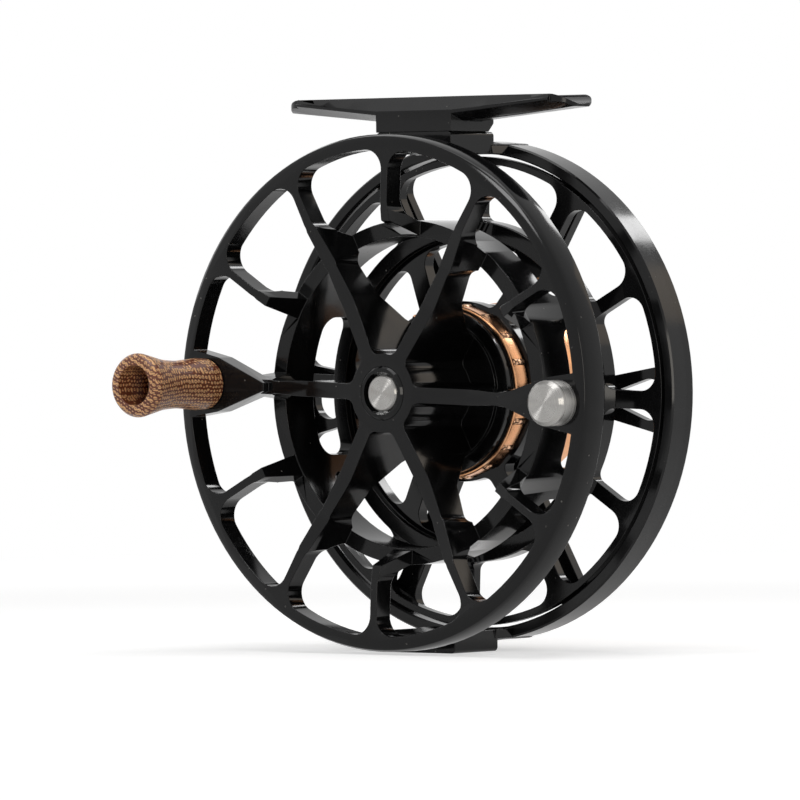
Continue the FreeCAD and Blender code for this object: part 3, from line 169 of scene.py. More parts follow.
def build_lathe_marks():
    """Fine rings left by the lathe tool about an axis along Y."""
    group, tree, given, out = shader_group(
        "lathe_marks",
        [("Centre", VECTOR, (0, 0, 0)), ("Pitch", FLOAT, 0.1), ("Waver", FLOAT, 0.3)],
        [("Height", FLOAT), ("Shade", FLOAT)],
    )
    place = tree.node("ShaderNodeTexCoord").outputs["Object"]
    local = tree.vector("SUBTRACT", place, given["Centre"])
    flat = tree.vector("MULTIPLY", local, (1, 0, 1))
    radius = tree.vector("LENGTH", flat)
    depth = tree.vector("DOT_PRODUCT", local, (0, 1, 0))
    travel = tree.math("ADD", radius, depth)
    turns = tree.math("DIVIDE", tree.math("MULTIPLY", travel, MM_PER_METRE), given["Pitch"])
    ring_place = tree.node("ShaderNodeCombineXYZ", X=turns).outputs[0]
    ring_noise = tree.noise(ring_place, 1.0, 2.0, 0.5)
    wave = tree.math("SINE", tree.math("MULTIPLY", turns, 2 * math.pi))
    waver = tree.math("MULTIPLY", tree.math("SUBTRACT", ring_noise, 0.5), 4.0)
    height = tree.math("ADD", tree.math("MULTIPLY", wave, 0.5), tree.math("MULTIPLY", waver, given["Waver"]))
    tree.feed(out["Height"], height)
    tree.feed(out["Shade"], ring_noise)
    return group


def build_dust():
    """Small specks of dust and faint lint that lie on a clean surface."""
    group, tree, given, out = shader_group(
        "dust_specks",
        [("Amount", FLOAT, 0.5), ("Size", FLOAT, 0.35)],
        [("Mask", FLOAT), ("Haze", FLOAT)],
    )
    place = tree.node("ShaderNodeTexCoord").outputs["Object"]
    cells = tree.node("ShaderNodeTexVoronoi", {"feature": "F1"}, Vector=place, Scale=650.0)
    wide = tree.noise(place, 60.0, 2.0)
    chance = tree.vector("DOT_PRODUCT", cells.outputs["Color"], (0.34, 0.33, 0.33))
    chosen = tree.math("GREATER_THAN", chance, 0.66)
    reach = tree.math("MULTIPLY", given["Size"], 0.4)
    speck = tree.between(cells.outputs["Distance"], reach, tree.math("MULTIPLY", reach, 0.4))
    patch = tree.between(wide, 0.42, 0.62)
    mask = tree.math("MULTIPLY", tree.math("MULTIPLY", speck, chosen), patch)
    tree.feed(out["Mask"], tree.math("MULTIPLY", mask, given["Amount"]))
    tree.feed(out["Haze"], tree.noise(place, 140.0, 5.0, 0.6))
    return group


def build_edge_polish():
    """Where an outside edge has been rubbed: one on sharp convex edges, nought on flats."""
    group, tree, given, out = shader_group(
        "edge_polish",
        [("Reach", FLOAT, 0.04), ("Break Up", FLOAT, 0.5)],
        [("Mask", FLOAT)],
    )
    point = tree.node("ShaderNodeNewGeometry").outputs["Pointiness"]
    place = tree.node("ShaderNodeTexCoord").outputs["Object"]
    ragged = tree.noise(place, 900.0, 4.0, 0.6)
    reach_change = tree.math("MULTIPLY", given["Break Up"], 0.05)
    lifted = tree.math("ADD", point, tree.math("MULTIPLY", tree.math("SUBTRACT", ragged, 0.5), reach_change))
    edge = tree.between(lifted, 0.52, tree.math("ADD", 0.52, given["Reach"]))
    tree.feed(out["Mask"], edge)
    return group


def yarn_section(tree, beside, above, half_width, half_height):
    """One inside a yarn's flattened section and nought outside it."""
    wide = tree.math("POWER", tree.math("ABSOLUTE", tree.math("DIVIDE", beside, half_width)), 2.0)
    high = tree.math("POWER", tree.math("ABSOLUTE", tree.math("DIVIDE", above, half_height)), 2.0)
    return tree.between(tree.math("ADD", wide, high), 1.5, 0.35)


def thread_rise(tree, place, number, waviness):
    """How far a thread rises and dips as it passes over and under the threads across it."""
    turn = tree.math("MULTIPLY", tree.math("SUBTRACT", tree.math("ADD", place, number), 0.5), math.pi)
    return tree.math("MULTIPLY", tree.math("COSINE", turn), waviness)


def build_canvas_layers():
    """Plain-woven cloth laid flat in resin, where turning has cut through the threads of every layer."""
    group, tree, given, out = shader_group(
        "canvas_layers",
        [
            ("Centre", VECTOR, (0, 0, 0)),
            ("Layer", FLOAT, 0.74),
            ("Yarn", FLOAT, 0.84),
            ("Lay Angle", FLOAT, -29.5),
            ("Waviness", FLOAT, 0.24),
        ],
        [("Yarn Mask", FLOAT), ("Thread", FLOAT), ("Height", FLOAT), ("Tone", FLOAT)],
    )
    place = tree.node("ShaderNodeTexCoord").outputs["Object"]
    local = tree.vector("SCALE", tree.vector("SUBTRACT", place, given["Centre"]))
    local.node.inputs["Scale"].default_value = MM_PER_METRE
    turn = tree.node("ShaderNodeVectorRotate", {"rotation_type": "Y_AXIS"}, Vector=local)
    tree.feed(turn.inputs["Angle"], tree.math("RADIANS", given["Lay Angle"]))
    drift = tree.node("ShaderNodeTexNoise", Vector=turn.outputs[0], Scale=0.4, Detail=3.0)
    shift = tree.vector("SCALE", tree.vector("SUBTRACT", drift.outputs["Color"], (0.5, 0.5, 0.5)))
    shift.node.inputs["Scale"].default_value = 0.8
    laid = tree.vector("ADD", turn.outputs[0], shift)
    parts = tree.node("ShaderNodeSeparateXYZ", Vector=laid)
    level = tree.math("DIVIDE", parts.outputs[2], given["Layer"])
    layer = tree.math("FLOOR", level)
    height = tree.math("SUBTRACT", tree.math("SUBTRACT", level, layer), 0.5)
    slide = tree.math("MULTIPLY", layer, 0.5)
    across = tree.math("ADD", tree.math("DIVIDE", parts.outputs[0], given["Yarn"]), slide)
    along = tree.math("ADD", tree.math("DIVIDE", parts.outputs[1], given["Yarn"]), slide)
    warp_number = tree.math("FLOOR", along)
    weft_number = tree.math("FLOOR", across)
    beside_warp = tree.math("SUBTRACT", tree.math("SUBTRACT", along, warp_number), 0.5)
    beside_weft = tree.math("SUBTRACT", tree.math("SUBTRACT", across, weft_number), 0.5)
    warp_rise = thread_rise(tree, across, warp_number, given["Waviness"])
    weft_rise = thread_rise(tree, along, weft_number, given["Waviness"])
    warp = yarn_section(tree, beside_warp, tree.math("SUBTRACT", height, warp_rise), 0.34, 0.25)
    weft = yarn_section(tree, beside_weft, tree.math("ADD", height, weft_rise), 0.34, 0.17)
    cloth = tree.math("MAXIMUM", warp, tree.math("MULTIPLY", weft, 0.8))
    fibres = tree.noise(laid, 4.2, 4.0, 0.7)
    worn_through = tree.math("ADD", cloth, tree.math("MULTIPLY", tree.math("SUBTRACT", fibres, 0.5), 1.1))
    mask = tree.between(worn_through, 0.22, 0.85)
    tree.feed(out["Yarn Mask"], mask)
    tree.feed(out["Thread"], fibres)
    tree.feed(out["Height"], tree.math("MULTIPLY", mask, 0.02))
    tree.feed(out["Tone"], tree.noise(laid, 0.45, 3.0))
    return group


def build_carbon_weave():
    """Square carbon cloth, seen on the drag discs."""
    group, tree, given, out = shader_group("carbon_weave", [("Tow", FLOAT, 0.9)], [("Mask", FLOAT)])
    place = tree.node("ShaderNodeTexCoord").outputs["Object"]
    parts = tree.node("ShaderNodeSeparateXYZ", Vector=place)
    step = tree.math("DIVIDE", math.pi * MM_PER_METRE, given["Tow"])
    one = tree.math("SINE", tree.math("MULTIPLY", parts.outputs[0], step))
    two = tree.math("SINE", tree.math("MULTIPLY", parts.outputs[2], step))
    tree.feed(out["Mask"], tree.between(tree.math("MULTIPLY", one, two), -0.2, 0.2))
    return group


LATHE_MARKS = build_lathe_marks()
DUST = build_dust()
EDGE_POLISH = build_edge_polish()
CANVAS_LAYERS = build_canvas_layers()
CARBON_WEAVE = build_carbon_weave()


def new_material(name):
    """An empty material with its surface shader joined to the output."""
    made = bpy.data.materials.new(name)
    made.use_nodes = True
    made.node_tree.nodes.clear()
    tree = Tree(made.node_tree)
    surface = made.node_tree.nodes.new("ShaderNodeBsdfPrincipled")
    finish = made.node_tree.nodes.new("ShaderNodeOutputMaterial")
    tree.feed(finish.inputs["Surface"], surface.outputs["BSDF"])
    return made, tree, surface


def use_group(tree, group, **values):
    made = tree.node("ShaderNodeGroup", {"node_tree": group})
    for name, value in values.items():
        tree.feed(made.inputs[name.replace("_", " ")], value)
    return made.outputs


def bump(tree, height, distance):
    made = tree.node("ShaderNodeBump")
    made.inputs["Strength"].default_value = 1.0
    made.inputs["Distance"].default_value = distance
    tree.feed(made.inputs["Height"], height)
    return made.outputs["Normal"]


def black_anodised(name, shade, rough, centre, pitch, mark_depth, dust_amount=0.5):
    """Gloss black anodised aluminium over machined faces."""
    made, tree, surface = new_material(name)
    marks = use_group(tree, LATHE_MARKS, Centre=centre, Pitch=pitch, Waver=0.4)
    dust = use_group(tree, DUST, Amount=dust_amount)
    worn = use_group(tree, EDGE_POLISH, Reach=0.06, Break_Up=0.4)
    base = tree.mix(dust["Haze"], shaded(shade, 0.75), shaded(shade, 1.3))
    rubbed = tree.mix(tree.math("MULTIPLY", worn["Mask"], 0.05), base, colour(0.16, 0.16, 0.165))
    tree.feed(surface.inputs["Base Color"], tree.mix(dust["Mask"], rubbed, colour(0.32, 0.31, 0.29)))
    hazy = tree.between(dust["Haze"], 0.3, 0.75, rough * 0.75, rough * 1.35)
    tree.feed(surface.inputs["Roughness"], tree.math("ADD", hazy, tree.math("MULTIPLY", dust["Mask"], 0.5)))
    tree.feed(surface.inputs["Normal"], bump(tree, marks["Height"], mark_depth))
    surface.inputs["IOR"].default_value = 1.3
    return made


def turned_steel(name, centre, shade, rough, pitch, mark_depth):
    """Stainless steel straight off the lathe, whose fine turning draws highlights out from the axis."""
    made, tree, surface = new_material(name)
    grooves = tree.node("ShaderNodeTangent", {"direction_type": "RADIAL", "axis": "Y"})
    tree.feed(surface.inputs["Tangent"], grooves.outputs["Tangent"])
    surface.inputs["Anisotropic"].default_value = 1.0
    surface.inputs["Anisotropic Rotation"].default_value = 0.25
    marks = use_group(tree, LATHE_MARKS, Centre=centre, Pitch=pitch, Waver=0.55)
    tree.feed(surface.inputs["Base Color"], tree.mix(marks["Shade"], shaded(shade, 0.72), colour(*shade)))
    tree.feed(surface.inputs["Roughness"], tree.between(marks["Shade"], 0.2, 0.8, rough * 0.7, rough * 1.3))
    tree.feed(surface.inputs["Normal"], bump(tree, marks["Height"], mark_depth))
    surface.inputs["Metallic"].default_value = 1.0
    return made


def bronze_anodised(name, centre, shade, rough):
    """Aluminium dyed a copper bronze."""
    made, tree, surface = new_material(name)
    marks = use_group(tree, LATHE_MARKS, Centre=centre, Pitch=0.22, Waver=0.5)
    dust = use_group(tree, DUST, Amount=0.3)
    worn = use_group(tree, EDGE_POLISH, Reach=0.08, Break_Up=0.5)
    base = tree.mix(dust["Haze"], shaded(shade, 0.68), colour(*shade))
    rubbed = tree.math("MULTIPLY", worn["Mask"], 0.35)
    tree.feed(surface.inputs["Base Color"], tree.mix(rubbed, base, colour(0.86, 0.62, 0.45)))
    tree.feed(surface.inputs["Roughness"], tree.between(marks["Shade"], 0.2, 0.8, rough * 0.8, rough * 1.3))
    tree.feed(surface.inputs["Normal"], bump(tree, marks["Height"], 0.000006))
    surface.inputs["Metallic"].default_value = 1.0
    return made


def canvas_laminate(name, centre):
    """The grip: layers of cotton canvas in brown resin, turned and oiled."""
    made, tree, surface = new_material(name)
    cloth = use_group(tree, CANVAS_LAYERS, Centre=centre)
    resin = tree.mix(cloth["Tone"], colour(0.10, 0.022, 0.010), colour(0.24, 0.062, 0.026))
    yarn = tree.mix(cloth["Thread"], colour(0.78, 0.32, 0.11), colour(1.0, 0.68, 0.36))
    tree.feed(surface.inputs["Base Color"], tree.mix(cloth["Yarn Mask"], resin, yarn))
    tree.feed(surface.inputs["Roughness"], tree.between(cloth["Yarn Mask"], 0.0, 1.0, 0.3, 0.48))
    tree.feed(surface.inputs["Normal"], bump(tree, cloth["Height"], 0.005))
    surface.inputs["Specular IOR Level"].default_value = 0.45
    return made


def plain_steel(name, shade, rough):
    """Ground steel of the inner works, with faint oil."""
    made, tree, surface = new_material(name)
    place = tree.node("ShaderNodeTexCoord").outputs["Object"]
    stretched = tree.node("ShaderNodeMapping", Vector=place)
    stretched.inputs["Scale"].default_value = (1.0, 7.0, 1.0)
    grain = tree.noise(stretched.outputs[0], 1600.0, 5.0, 0.6)
    tree.feed(surface.inputs["Base Color"], tree.mix(grain, shaded(shade, 0.7), colour(*shade)))
    tree.feed(surface.inputs["Roughness"], tree.between(grain, 0.2, 0.8, rough * 0.7, rough * 1.4))
    tree.feed(surface.inputs["Normal"], bump(tree, grain, 0.000004))
    surface.inputs["Metallic"].default_value = 1.0
    return made


def moulded(name, shade, rough):
    """Moulded plastic or rubber, with a faint grain."""
    made, tree, surface = new_material(name)
    place = tree.node("ShaderNodeTexCoord").outputs["Object"]
    grain = tree.noise(place, 2600.0, 3.0, 0.6)
    tree.feed(surface.inputs["Base Color"], tree.mix(grain, shaded(shade, 0.85), colour(*shade)))
    tree.feed(surface.inputs["Roughness"], tree.between(grain, 0.2, 0.8, rough * 0.85, rough * 1.1))
    tree.feed(surface.inputs["Normal"], bump(tree, grain, 0.00001))
    return made


def carbon_disc(name):
    """A drag disc of carbon cloth in dull resin."""
    made, tree, surface = new_material(name)
    weave = use_group(tree, CARBON_WEAVE)
    gap, tow = colour(0.012, 0.012, 0.014), colour(0.05, 0.05, 0.055)
    tree.feed(surface.inputs["Base Color"], tree.mix(weave["Mask"], gap, tow))
    tree.feed(surface.inputs["Roughness"], tree.between(weave["Mask"], 0.0, 1.0, 0.35, 0.55))
    tree.feed(surface.inputs["Normal"], bump(tree, weave["Mask"], 0.00002))
    return made


def middle_of(node):
    low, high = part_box(node)
    return (low + high) / 2


GRIP_CENTRE = middle_of("handle_grip")
WEIGHT_CENTRE = middle_of("counterweight")
INK = (0.0034, 0.0035, 0.0039)
FOOT_INK = (0.0040, 0.0040, 0.0045)
# steel's colour set darker than real steel, as painted shade for the dim surroundings it reflects
STEEL_WITH_PAINTED_SHADE = (0.40, 0.39, 0.375)

SPOOL_BLACK = black_anodised("spool black anodising", INK, 0.10, SPOOL_AXIS, 0.5, 0.0000003)
FRAME_BLACK = black_anodised("frame black anodising", INK, 0.12, SPOOL_AXIS, 0.5, 0.0000004)
FOOT_BLACK = black_anodised("foot black anodising", FOOT_INK, 0.2, SPOOL_AXIS, 0.8, 0.0000002, 0.3)
RING_BLACK = black_anodised("hub ring black anodising", INK, 0.07, SPOOL_AXIS, 0.3, 0.0000004, 0.2)
CAP_STEEL = turned_steel("hub cap steel", SPOOL_AXIS, STEEL_WITH_PAINTED_SHADE, 0.3, 0.3, 0.0000015)
WEIGHT_STEEL = turned_steel("counterweight steel", WEIGHT_CENTRE, STEEL_WITH_PAINTED_SHADE, 0.3, 0.3, 0.0000012)
GEAR_STEEL = turned_steel("click gear steel", SPOOL_AXIS, STEEL_WITH_PAINTED_SHADE, 0.28, 0.15, 0.000004)
BRONZE = bronze_anodised("bronze anodising", SPOOL_AXIS, (0.80, 0.40, 0.20), 0.22)
CANVAS = canvas_laminate("canvas laminate", GRIP_CENTRE)
BRIGHT_STEEL = plain_steel("ground steel", (0.62, 0.62, 0.61), 0.25)
DARK_STEEL = plain_steel("oiled dark steel", (0.16, 0.16, 0.165), 0.32)
BUSHING = moulded("bushing plastic", (0.74, 0.71, 0.63), 0.5)
RUBBER = moulded("seal rubber", (0.02, 0.02, 0.02), 0.6)
CARBON = carbon_disc("drag disc carbon cloth")

SLOT_MATERIAL = {
    "spool_black": SPOOL_BLACK,
    "frame_black": FRAME_BLACK,
    "foot_black": FOOT_BLACK,
    "hub_ring_black": RING_BLACK,
    "turned_steel": CAP_STEEL,
    "bright_steel": BRIGHT_STEEL,
    "dark_steel": DARK_STEEL,
    "canvas_laminate": CANVAS,
    "bronze_anodised": BRONZE,
    "bushing_plastic": BUSHING,
    "seal_rubber": RUBBER,
    "drag_carbon": CARBON,
}
OWN_MATERIAL = {
    "counterweight": WEIGHT_STEEL,
    "counterweight_screw": WEIGHT_STEEL,
    "knob_insert": GEAR_STEEL,
    "click_gear": GEAR_STEEL,
}
SLOT_OF_NODE = {
    "spool": "spool_black",
    "hub_ring": "hub_ring_black",
    "spool_screw": "turned_steel",
    "bearing_spacer": "bronze_anodised",
    "reel_frame": "frame_black",
    "drag_cover": "frame_black",
    "reel_foot": "foot_black",
    "foot_screws": "dark_steel",
    "cover_screws": "dark_steel",
    "handle_grip": "canvas_laminate",
    "handle_bushings": "bushing_plastic",
    "counterweight": "turned_steel",
    "counterweight_screw": "turned_steel",
    "drag_seal": "seal_rubber",
    "front_drag_disc": "drag_carbon",
    "rear_drag_disc": "drag_carbon",
    "drag_knob": "bronze_anodised",
    "knob_cap": "bronze_anodised",
    "knob_insert": "turned_steel",
    "click_gear": "turned_steel",
}


def slot_of(node):
    return SLOT_OF_NODE.get(node, "bright_steel")


def material_of(node):
    return OWN_MATERIAL.get(node, SLOT_MATERIAL[slot_of(node)])


for node_name, node_object in frame["nodes"].items():
    node_object.data.materials.clear()
    node_object.data.materials.append(material_of(node_name))


# ---------------------------------------------------------------- machined pieces with broken edges


SHARP_ANGLE = math.radians(30.0)
CHAMFER_STEPS = 2
SLIVER = 0.02 * MM
SPECK = 0.01 * MM


def broken_edges(node, edge_width):
    """Stands a copy of a CAD node in its place, with every sharp edge chamfered as a machinist leaves it."""
    mesh = frame["nodes"][node].data.copy()
    mesh.name = node + "_finished"
    work = bmesh.new()
    work.from_mesh(mesh)
    bmesh.ops.remove_doubles(work, verts=work.verts, dist=SLIVER)
    bmesh.ops.dissolve_degenerate(work, edges=work.edges, dist=SPECK)
    bmesh.ops.dissolve_limit(
        work,
        angle_limit=math.radians(0.5),
        verts=work.verts,
        edges=work.edges,
        use_dissolve_boundaries=False,
        delimit=set(),
    )
    for face in work.faces:
        face.smooth = True
    work.to_mesh(mesh)
    work.free()
    if "custom_normal" in mesh.attributes:
        mesh.attributes.remove(mesh.attributes["custom_normal"])
    piece = bpy.data.objects.new(node + "_piece", mesh)
    bpy.context.scene.collection.objects.link(piece)
    bevel = piece.modifiers.new("broken edges", "BEVEL")
    bevel.width = edge_width
    bevel.segments = CHAMFER_STEPS
    bevel.limit_method = "ANGLE"
    bevel.angle_limit = SHARP_ANGLE
    bevel.harden_normals = True
    bevel.use_clamp_overlap = False
    bevel.miter_outer = "MITER_ARC"
    graph = bpy.context.evaluated_depsgraph_get()
    finished = bpy.data.meshes.new_from_object(piece.evaluated_get(graph), depsgraph=graph)
    piece.modifiers.clear()
    piece.data = finished
    lowest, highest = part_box(node)
    for vertex in finished.vertices:
        vertex.co = [min(max(vertex.co[i], lowest[i]), highest[i]) for i in range(3)]
    finished.materials.clear()
    finished.materials.append(material_of(node))
    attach(piece, NODE_BODY[node])
    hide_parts(node)
    return piece


for node_name, width in (
    ("spool", 0.13 * MM),
    ("reel_frame", 0.13 * MM),
    ("reel_foot", 0.12 * MM),
    ("drag_knob", 0.12 * MM),
    ("counterweight", 0.04 * MM),
    ("handle_grip", 0.12 * MM),
    ("hub_ring", 0.05 * MM),
    ("spool_screw", 0.04 * MM),
):
    broken_edges(node_name, width)


# ---------------------------------------------------------------- turned rings and repeated details


RING_STEPS = 256


def turned_ring(name, outline):
    """A ring about the spool axis, from a closed outline of (radius, depth along the axis) in millimetres."""
    work = bmesh.new()
    rows = []
    for radius, depth in outline:
        row = []
        for step in range(RING_STEPS):
            turn = 2 * math.pi * step / RING_STEPS
            spot = Vector((radius * math.cos(turn), depth, radius * math.sin(turn))) * MM
            row.append(work.verts.new(SPOOL_AXIS + spot))
        rows.append(row)
    for here, ahead in zip(rows, rows[1:] + rows[:1]):
        for step in range(RING_STEPS):
            after = (step + 1) % RING_STEPS
            work.faces.new((here[step], here[after], ahead[after], ahead[step]))
    bmesh.ops.recalc_face_normals(work, faces=work.faces)
    for edge in work.edges:
        edge.smooth = edge.calc_face_angle(0.0) < SHARP_ANGLE
    for face in work.faces:
        face.smooth = True
    mesh = bpy.data.meshes.new(name)
    work.to_mesh(mesh)
    work.free()
    ring = bpy.data.objects.new(name, mesh)
    bpy.context.scene.collection.objects.link(ring)
    return ring


def put_on(piece, body, finish):
    piece.data.materials.clear()
    piece.data.materials.append(finish)
    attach(piece, body)


# the frame's forward lip, which runs round the back flange of the spool
LIP_FRONT, LIP_BACK, LIP_OUTSIDE, LIP_INSIDE, LIP_BREAK = 26.3, 30.3, 46.0, 43.8, 0.3
frame_lip = turned_ring(
    "frame_lip",
    [
        (LIP_INSIDE, LIP_BACK),
        (LIP_INSIDE, LIP_FRONT + LIP_BREAK),
        (LIP_INSIDE + LIP_BREAK, LIP_FRONT),
        (LIP_OUTSIDE - LIP_BREAK, LIP_FRONT),
        (LIP_OUTSIDE, LIP_FRONT + LIP_BREAK),
        (LIP_OUTSIDE, LIP_BACK),
    ],
)
put_on(frame_lip, NODE_BODY["reel_frame"], FRAME_BLACK)


class Shape(Tree):
    """A geometry tree with named inputs, one of them its finish."""

    def __init__(self, name, inputs):
        super().__init__(bpy.data.node_groups.new(name, "GeometryNodeTree"))
        sockets = self.tree.interface
        for label, kind, default in inputs:
            socket = sockets.new_socket(name=label, in_out="INPUT", socket_type=kind)
            if default is not None:
                socket.default_value = default
        sockets.new_socket(name="Geometry", in_out="OUTPUT", socket_type="NodeSocketGeometry")
        self.given = self.tree.nodes.new("NodeGroupInput").outputs
        self.finish = self.tree.nodes.new("NodeGroupOutput").inputs["Geometry"]

    def close(self, geometry):
        """Ends the tree with real geometry in its finish."""
        real = self.node("GeometryNodeRealizeInstances", Geometry=geometry)
        dressed = self.node("GeometryNodeSetMaterial", Geometry=real.outputs["Geometry"])
        self.feed(dressed.inputs["Material"], self.given["Finish"])
        self.feed(self.finish, dressed.outputs["Geometry"])


def made_by(shape, name, values):
    """Runs a geometry tree on an empty object, its inputs set by identifier, and keeps the plain mesh."""
    piece = bpy.data.objects.new(name, bpy.data.meshes.new(name + "_start"))
    bpy.context.scene.collection.objects.link(piece)
    step = piece.modifiers.new(name, "NODES")
    step.node_group = shape.tree
    for item in shape.tree.interface.items_tree:
        if item.item_type == "SOCKET" and item.in_out == "INPUT" and item.name in values:
            step[item.identifier] = values[item.name]
    graph = bpy.context.evaluated_depsgraph_get()
    mesh = bpy.data.meshes.new_from_object(piece.evaluated_get(graph), depsgraph=graph)
    piece.modifiers.clear()
    piece.data = mesh
    return piece


BAND_STEPS = 180
STUB_SIDES = 20


def build_lobed_bezel():
    """A turned band with rounded lobes set round it, about an axis along Y."""
    shape = Shape(
        "lobed_bezel",
        [
            ("Centre", VECTOR, (0, 0, 0)),
            ("Radius", FLOAT, 0.0156),
            ("Wall", FLOAT, 0.0007),
            ("Width", FLOAT, 0.0034),
            ("Round", FLOAT, 0.0002),
            ("Lobes", WHOLE_NUMBER, 18),
            ("Lobe Size", FLOAT, 0.0009),
            ("Finish", MATERIAL, None),
        ],
    )
    given = shape.given
    circle = {"mode": "RADIUS"}
    loop = shape.node("GeometryNodeCurvePrimitiveCircle", circle, Resolution=BAND_STEPS)
    shape.feed(loop.inputs["Radius"], given["Radius"])
    section = shape.node("GeometryNodeCurvePrimitiveQuadrilateral", Width=given["Wall"])
    shape.feed(section.inputs["Height"], given["Width"])
    rounded = shape.node("GeometryNodeFilletCurve", Curve=section.outputs["Curve"], Radius=given["Round"])
    rounded.mode = "POLY"
    shape.feed(rounded.inputs["Count"], 3)
    band = shape.node("GeometryNodeCurveToMesh", Curve=loop.outputs["Curve"])
    shape.feed(band.inputs["Profile Curve"], rounded.outputs["Curve"])
    spots = shape.node("GeometryNodeCurvePrimitiveCircle", circle, Resolution=given["Lobes"])
    shape.feed(spots.inputs["Radius"], given["Radius"])
    places = shape.node("GeometryNodeCurveToPoints", {"mode": "EVALUATED"}, Curve=spots.outputs["Curve"])
    stub = shape.node("GeometryNodeMeshCylinder", {"fill_type": "TRIANGLE_FAN"}, Vertices=STUB_SIDES)
    shape.feed(stub.inputs["Radius"], given["Lobe Size"])
    shape.feed(stub.inputs["Depth"], shape.math("MULTIPLY", given["Width"], 0.8))
    lobes = shape.node("GeometryNodeInstanceOnPoints", Points=places.outputs["Points"])
    shape.feed(lobes.inputs["Instance"], stub.outputs["Mesh"])
    real = shape.node("GeometryNodeRealizeInstances", Geometry=lobes.outputs["Instances"])
    both = shape.node("GeometryNodeJoinGeometry")
    shape.feed(both.inputs["Geometry"], band.outputs["Mesh"])
    shape.feed(both.inputs["Geometry"], real.outputs["Geometry"])
    stood = shape.node("GeometryNodeTransform", Geometry=both.outputs["Geometry"])
    shape.feed(stood.inputs["Translation"], given["Centre"])
    stood.inputs["Rotation"].default_value = (math.pi / 2, 0.0, 0.0)
    soft = shape.node("GeometryNodeSetShadeSmooth", Geometry=stood.outputs["Geometry"])
    shape.close(soft.outputs["Geometry"])
    return shape


BEZEL_DEPTH = 20.9 * MM
arbor_bezel = made_by(
    build_lobed_bezel(),
    "arbor_bezel",
    {
        "Centre": SPOOL_AXIS + Vector((0.0, BEZEL_DEPTH, 0.0)),
        "Radius": 15.5 * MM,
        "Wall": 0.8 * MM,
        "Width": 3.6 * MM,
        "Round": 0.25 * MM,
        "Lobes": 18,
        "Lobe Size": 0.75 * MM,
        "Finish": BRONZE,
    },
)
put_on(arbor_bezel, NODE_BODY["spool"], BRONZE)


PAINTED_SOCKET_THICKNESS = 0.00008


def make_socket_shade_discs():
    """A thin dark six-sided disc on the end of every screw that is given as a point: painted shade standing
    in for a recessed key socket.
    """
    shape = Shape(
        "hex_sockets",
        [
            ("First", VECTOR, (0, 0, 0)),
            ("Last", VECTOR, (0, 0, 0)),
            ("Screws", WHOLE_NUMBER, 2),
            ("Key Size", FLOAT, 0.001),
            ("Finish", MATERIAL, None),
        ],
    )
    given = shape.given
    row = shape.node("GeometryNodeMeshLine", {"mode": "END_POINTS"}, Count=given["Screws"])
    shape.feed(row.inputs["Start Location"], given["First"])
    shape.feed(row.inputs["Offset"], given["Last"])
    # a flat dark hexagon, painted shade where a key socket would be recessed
    painted_hex = shape.node("GeometryNodeMeshCylinder", Vertices=6, Radius=given["Key Size"], Depth=PAINTED_SOCKET_THICKNESS)
    sockets = shape.node("GeometryNodeInstanceOnPoints", Points=row.outputs["Mesh"])
    shape.feed(sockets.inputs["Instance"], painted_hex.outputs["Mesh"])
    shape.close(sockets.outputs["Instances"])
    return shape


screws_low, screws_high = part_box("foot_screws")
SCREW_HEAD = (screws_high.y - screws_low.y) / 2
screw_row = (screws_low + screws_high) / 2
SOCKET_DEPTH = 0.02 * MM
# dark hexagons on the foot screws, painted shade in place of hollow key sockets
foot_socket_shade_piece = made_by(
    make_socket_shade_discs(),
    "foot_screw_socket_shade",
    {
        "First": Vector((screws_low.x + SCREW_HEAD, screw_row.y, screws_low.z + SOCKET_DEPTH)),
        "Last": Vector((screws_high.x - SCREW_HEAD, screw_row.y, screws_low.z + SOCKET_DEPTH)),
        "Screws": 2,
        "Key Size": SCREW_HEAD * 0.55,
        "Finish": RUBBER,
    },
)
put_on(foot_socket_shade_piece, NODE_BODY["foot_screws"], RUBBER)


# ---------------------------------------------------------------- studio


FLOOR_REACH = 0.62
FLOOR_GLOW = 0.57


def studio_floor():
    """A round white table that fades into the white surroundings and keeps the reel's shadow."""
    mesh = bpy.data.meshes.new("studio_floor")
    work = bmesh.new()
    bmesh.ops.create_circle(work, cap_ends=True, segments=128, radius=FLOOR_REACH)
    bmesh.ops.translate(work, verts=work.verts, vec=(0.0, 0.0, FLOOR_LEVEL))
    work.to_mesh(mesh)
    work.free()
    floor = bpy.data.objects.new("studio_floor", mesh)
    bpy.context.scene.collection.objects.link(floor)
    made, tree, surface = new_material("white studio floor")
    place = tree.node("ShaderNodeTexCoord").outputs["Object"]
    reach = tree.vector("LENGTH", tree.vector("MULTIPLY", place, (1, 1, 0)))
    far = tree.between(reach, 0.16, FLOOR_REACH * 0.9)
    tree.feed(surface.inputs["Base Color"], tree.mix(far, colour(0.7, 0.7, 0.7), colour(0, 0, 0)))
    surface.inputs["Roughness"].default_value = 0.35
    surface.inputs["Specular IOR Level"].default_value = 0.0
    surface.inputs["Emission Color"].default_value = colour(1, 1, 1)
    path = tree.node("ShaderNodeLightPath")
    seen = tree.math("MAXIMUM", path.outputs["Is Camera Ray"], path.outputs["Is Glossy Ray"])
    glow = tree.between(far, 0.0, 1.0, FLOOR_GLOW, 1.0)
    tree.feed(surface.inputs["Emission Strength"], tree.math("MULTIPLY", seen, glow))
    mesh.materials.append(made)


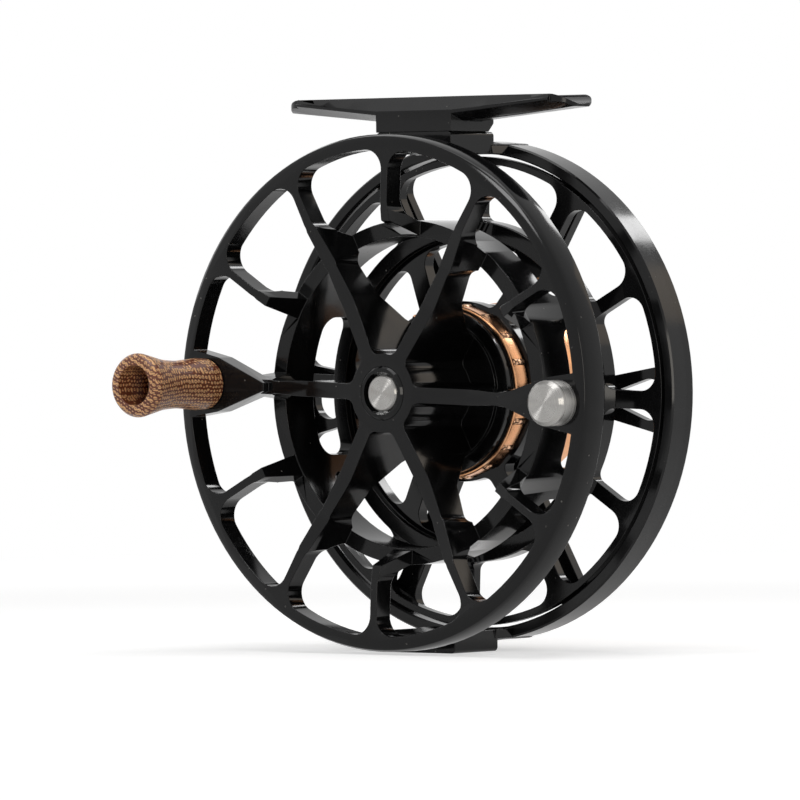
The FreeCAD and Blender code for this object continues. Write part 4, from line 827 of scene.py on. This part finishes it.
def studio_world():
    """White to the eye, in gloss and through glass, while the soft light comes from low down behind."""
    world = bpy.data.worlds.new("studio")
    bpy.context.scene.world = world
    world.use_nodes = True
    world.node_tree.nodes.clear()
    tree = Tree(world.node_tree)
    path = tree.node("ShaderNodeLightPath")
    facing = tree.node("ShaderNodeTexCoord").outputs["Generated"]
    height = tree.vector("DOT_PRODUCT", facing, (0, 0, 1))
    low_down = tree.between(height, 0.2, 0.06)
    behind = tree.between(tree.vector("DOT_PRODUCT", facing, (-0.6, 0.8, 0.0)), 0.15, 0.65)
    sweep = tree.math("MULTIPLY", low_down, behind)
    plain = tree.math("ADD", tree.math("MULTIPLY", sweep, 0.75), 0.03)
    seen = tree.math("MAXIMUM", path.outputs["Is Camera Ray"], path.outputs["Is Glossy Ray"])
    shown = tree.math("MAXIMUM", seen, path.outputs["Is Transmission Ray"])
    strength = tree.math("MAXIMUM", shown, plain)
    shade = tree.node("ShaderNodeBackground", Color=colour(1, 1, 1), Strength=strength)
    finish = tree.node("ShaderNodeOutputWorld")
    tree.feed(finish.inputs["Surface"], shade.outputs[0])


def soft_box(name, place, target, width, height, power, tint=(1, 1, 1)):
    """A rectangular soft light that faces a point."""
    data = bpy.data.lights.new(name, "AREA")
    data.shape = "RECTANGLE"
    data.size = width
    data.size_y = height
    data.energy = power
    data.color = tint
    box = bpy.data.objects.new(name, data)
    box.location = place
    box.rotation_euler = (Vector(target) - Vector(place)).to_track_quat("-Z", "Y").to_euler()
    bpy.context.scene.collection.objects.link(box)


def studio_camera():
    """Level with the hub, from the handle side, turned to the reel's right."""
    azimuth, elevation, roll = math.radians(38.53), math.radians(0.69), math.radians(-0.46)
    distance, lens = 1.491, 369.765
    right = Vector((math.cos(azimuth), math.sin(azimuth), 0.0))
    level, height = math.cos(elevation), math.sin(elevation)
    back = Vector((math.sin(azimuth) * level, -math.cos(azimuth) * level, height))
    up = back.cross(right)
    turned_right = right * math.cos(roll) + up * math.sin(roll)
    turned_up = up * math.cos(roll) - right * math.sin(roll)
    data = bpy.data.cameras.new("studio_camera")
    data.sensor_width = 36.0
    data.lens = lens
    data.shift_x = 0.0211
    data.shift_y = -0.0085
    data.clip_start = 0.05
    data.clip_end = 30.0
    camera = bpy.data.objects.new("studio_camera", data)
    turn = Matrix((turned_right, turned_up, back)).transposed().to_4x4()
    camera.matrix_world = Matrix.Translation(SPOOL_AXIS + back * distance) @ turn
    bpy.context.scene.collection.objects.link(camera)
    bpy.context.scene.camera = camera


studio_floor()
studio_world()
studio_camera()
MIDDLE = (0.0, 0.0, -0.05)
soft_box("top_soft_box", (0.08, -0.06, 1.0), MIDDLE, 0.8, 0.8, 6.5)
soft_box("front_soft_box", (-0.27, -1.06, 0.50), MIDDLE, 0.26, 0.26, 2.6)
soft_box("front_right_soft_box", (0.82, -0.66, 0.08), MIDDLE, 0.34, 0.42, 2.4, (1.0, 0.95, 0.86))
soft_box("front_left_soft_box", (-1.05, -0.2, 0.35), MIDDLE, 0.3, 0.5, 1.5)
soft_box("back_right_soft_box", (0.15, 0.97, 0.70), MIDDLE, 0.19, 0.24, 1.5)
soft_box("warm_card", (0.54, 0.97, 0.48), MIDDLE, 0.24, 0.34, 0.2, (1.0, 0.76, 0.5))

bpy.context.scene.view_settings.view_transform = "Standard"
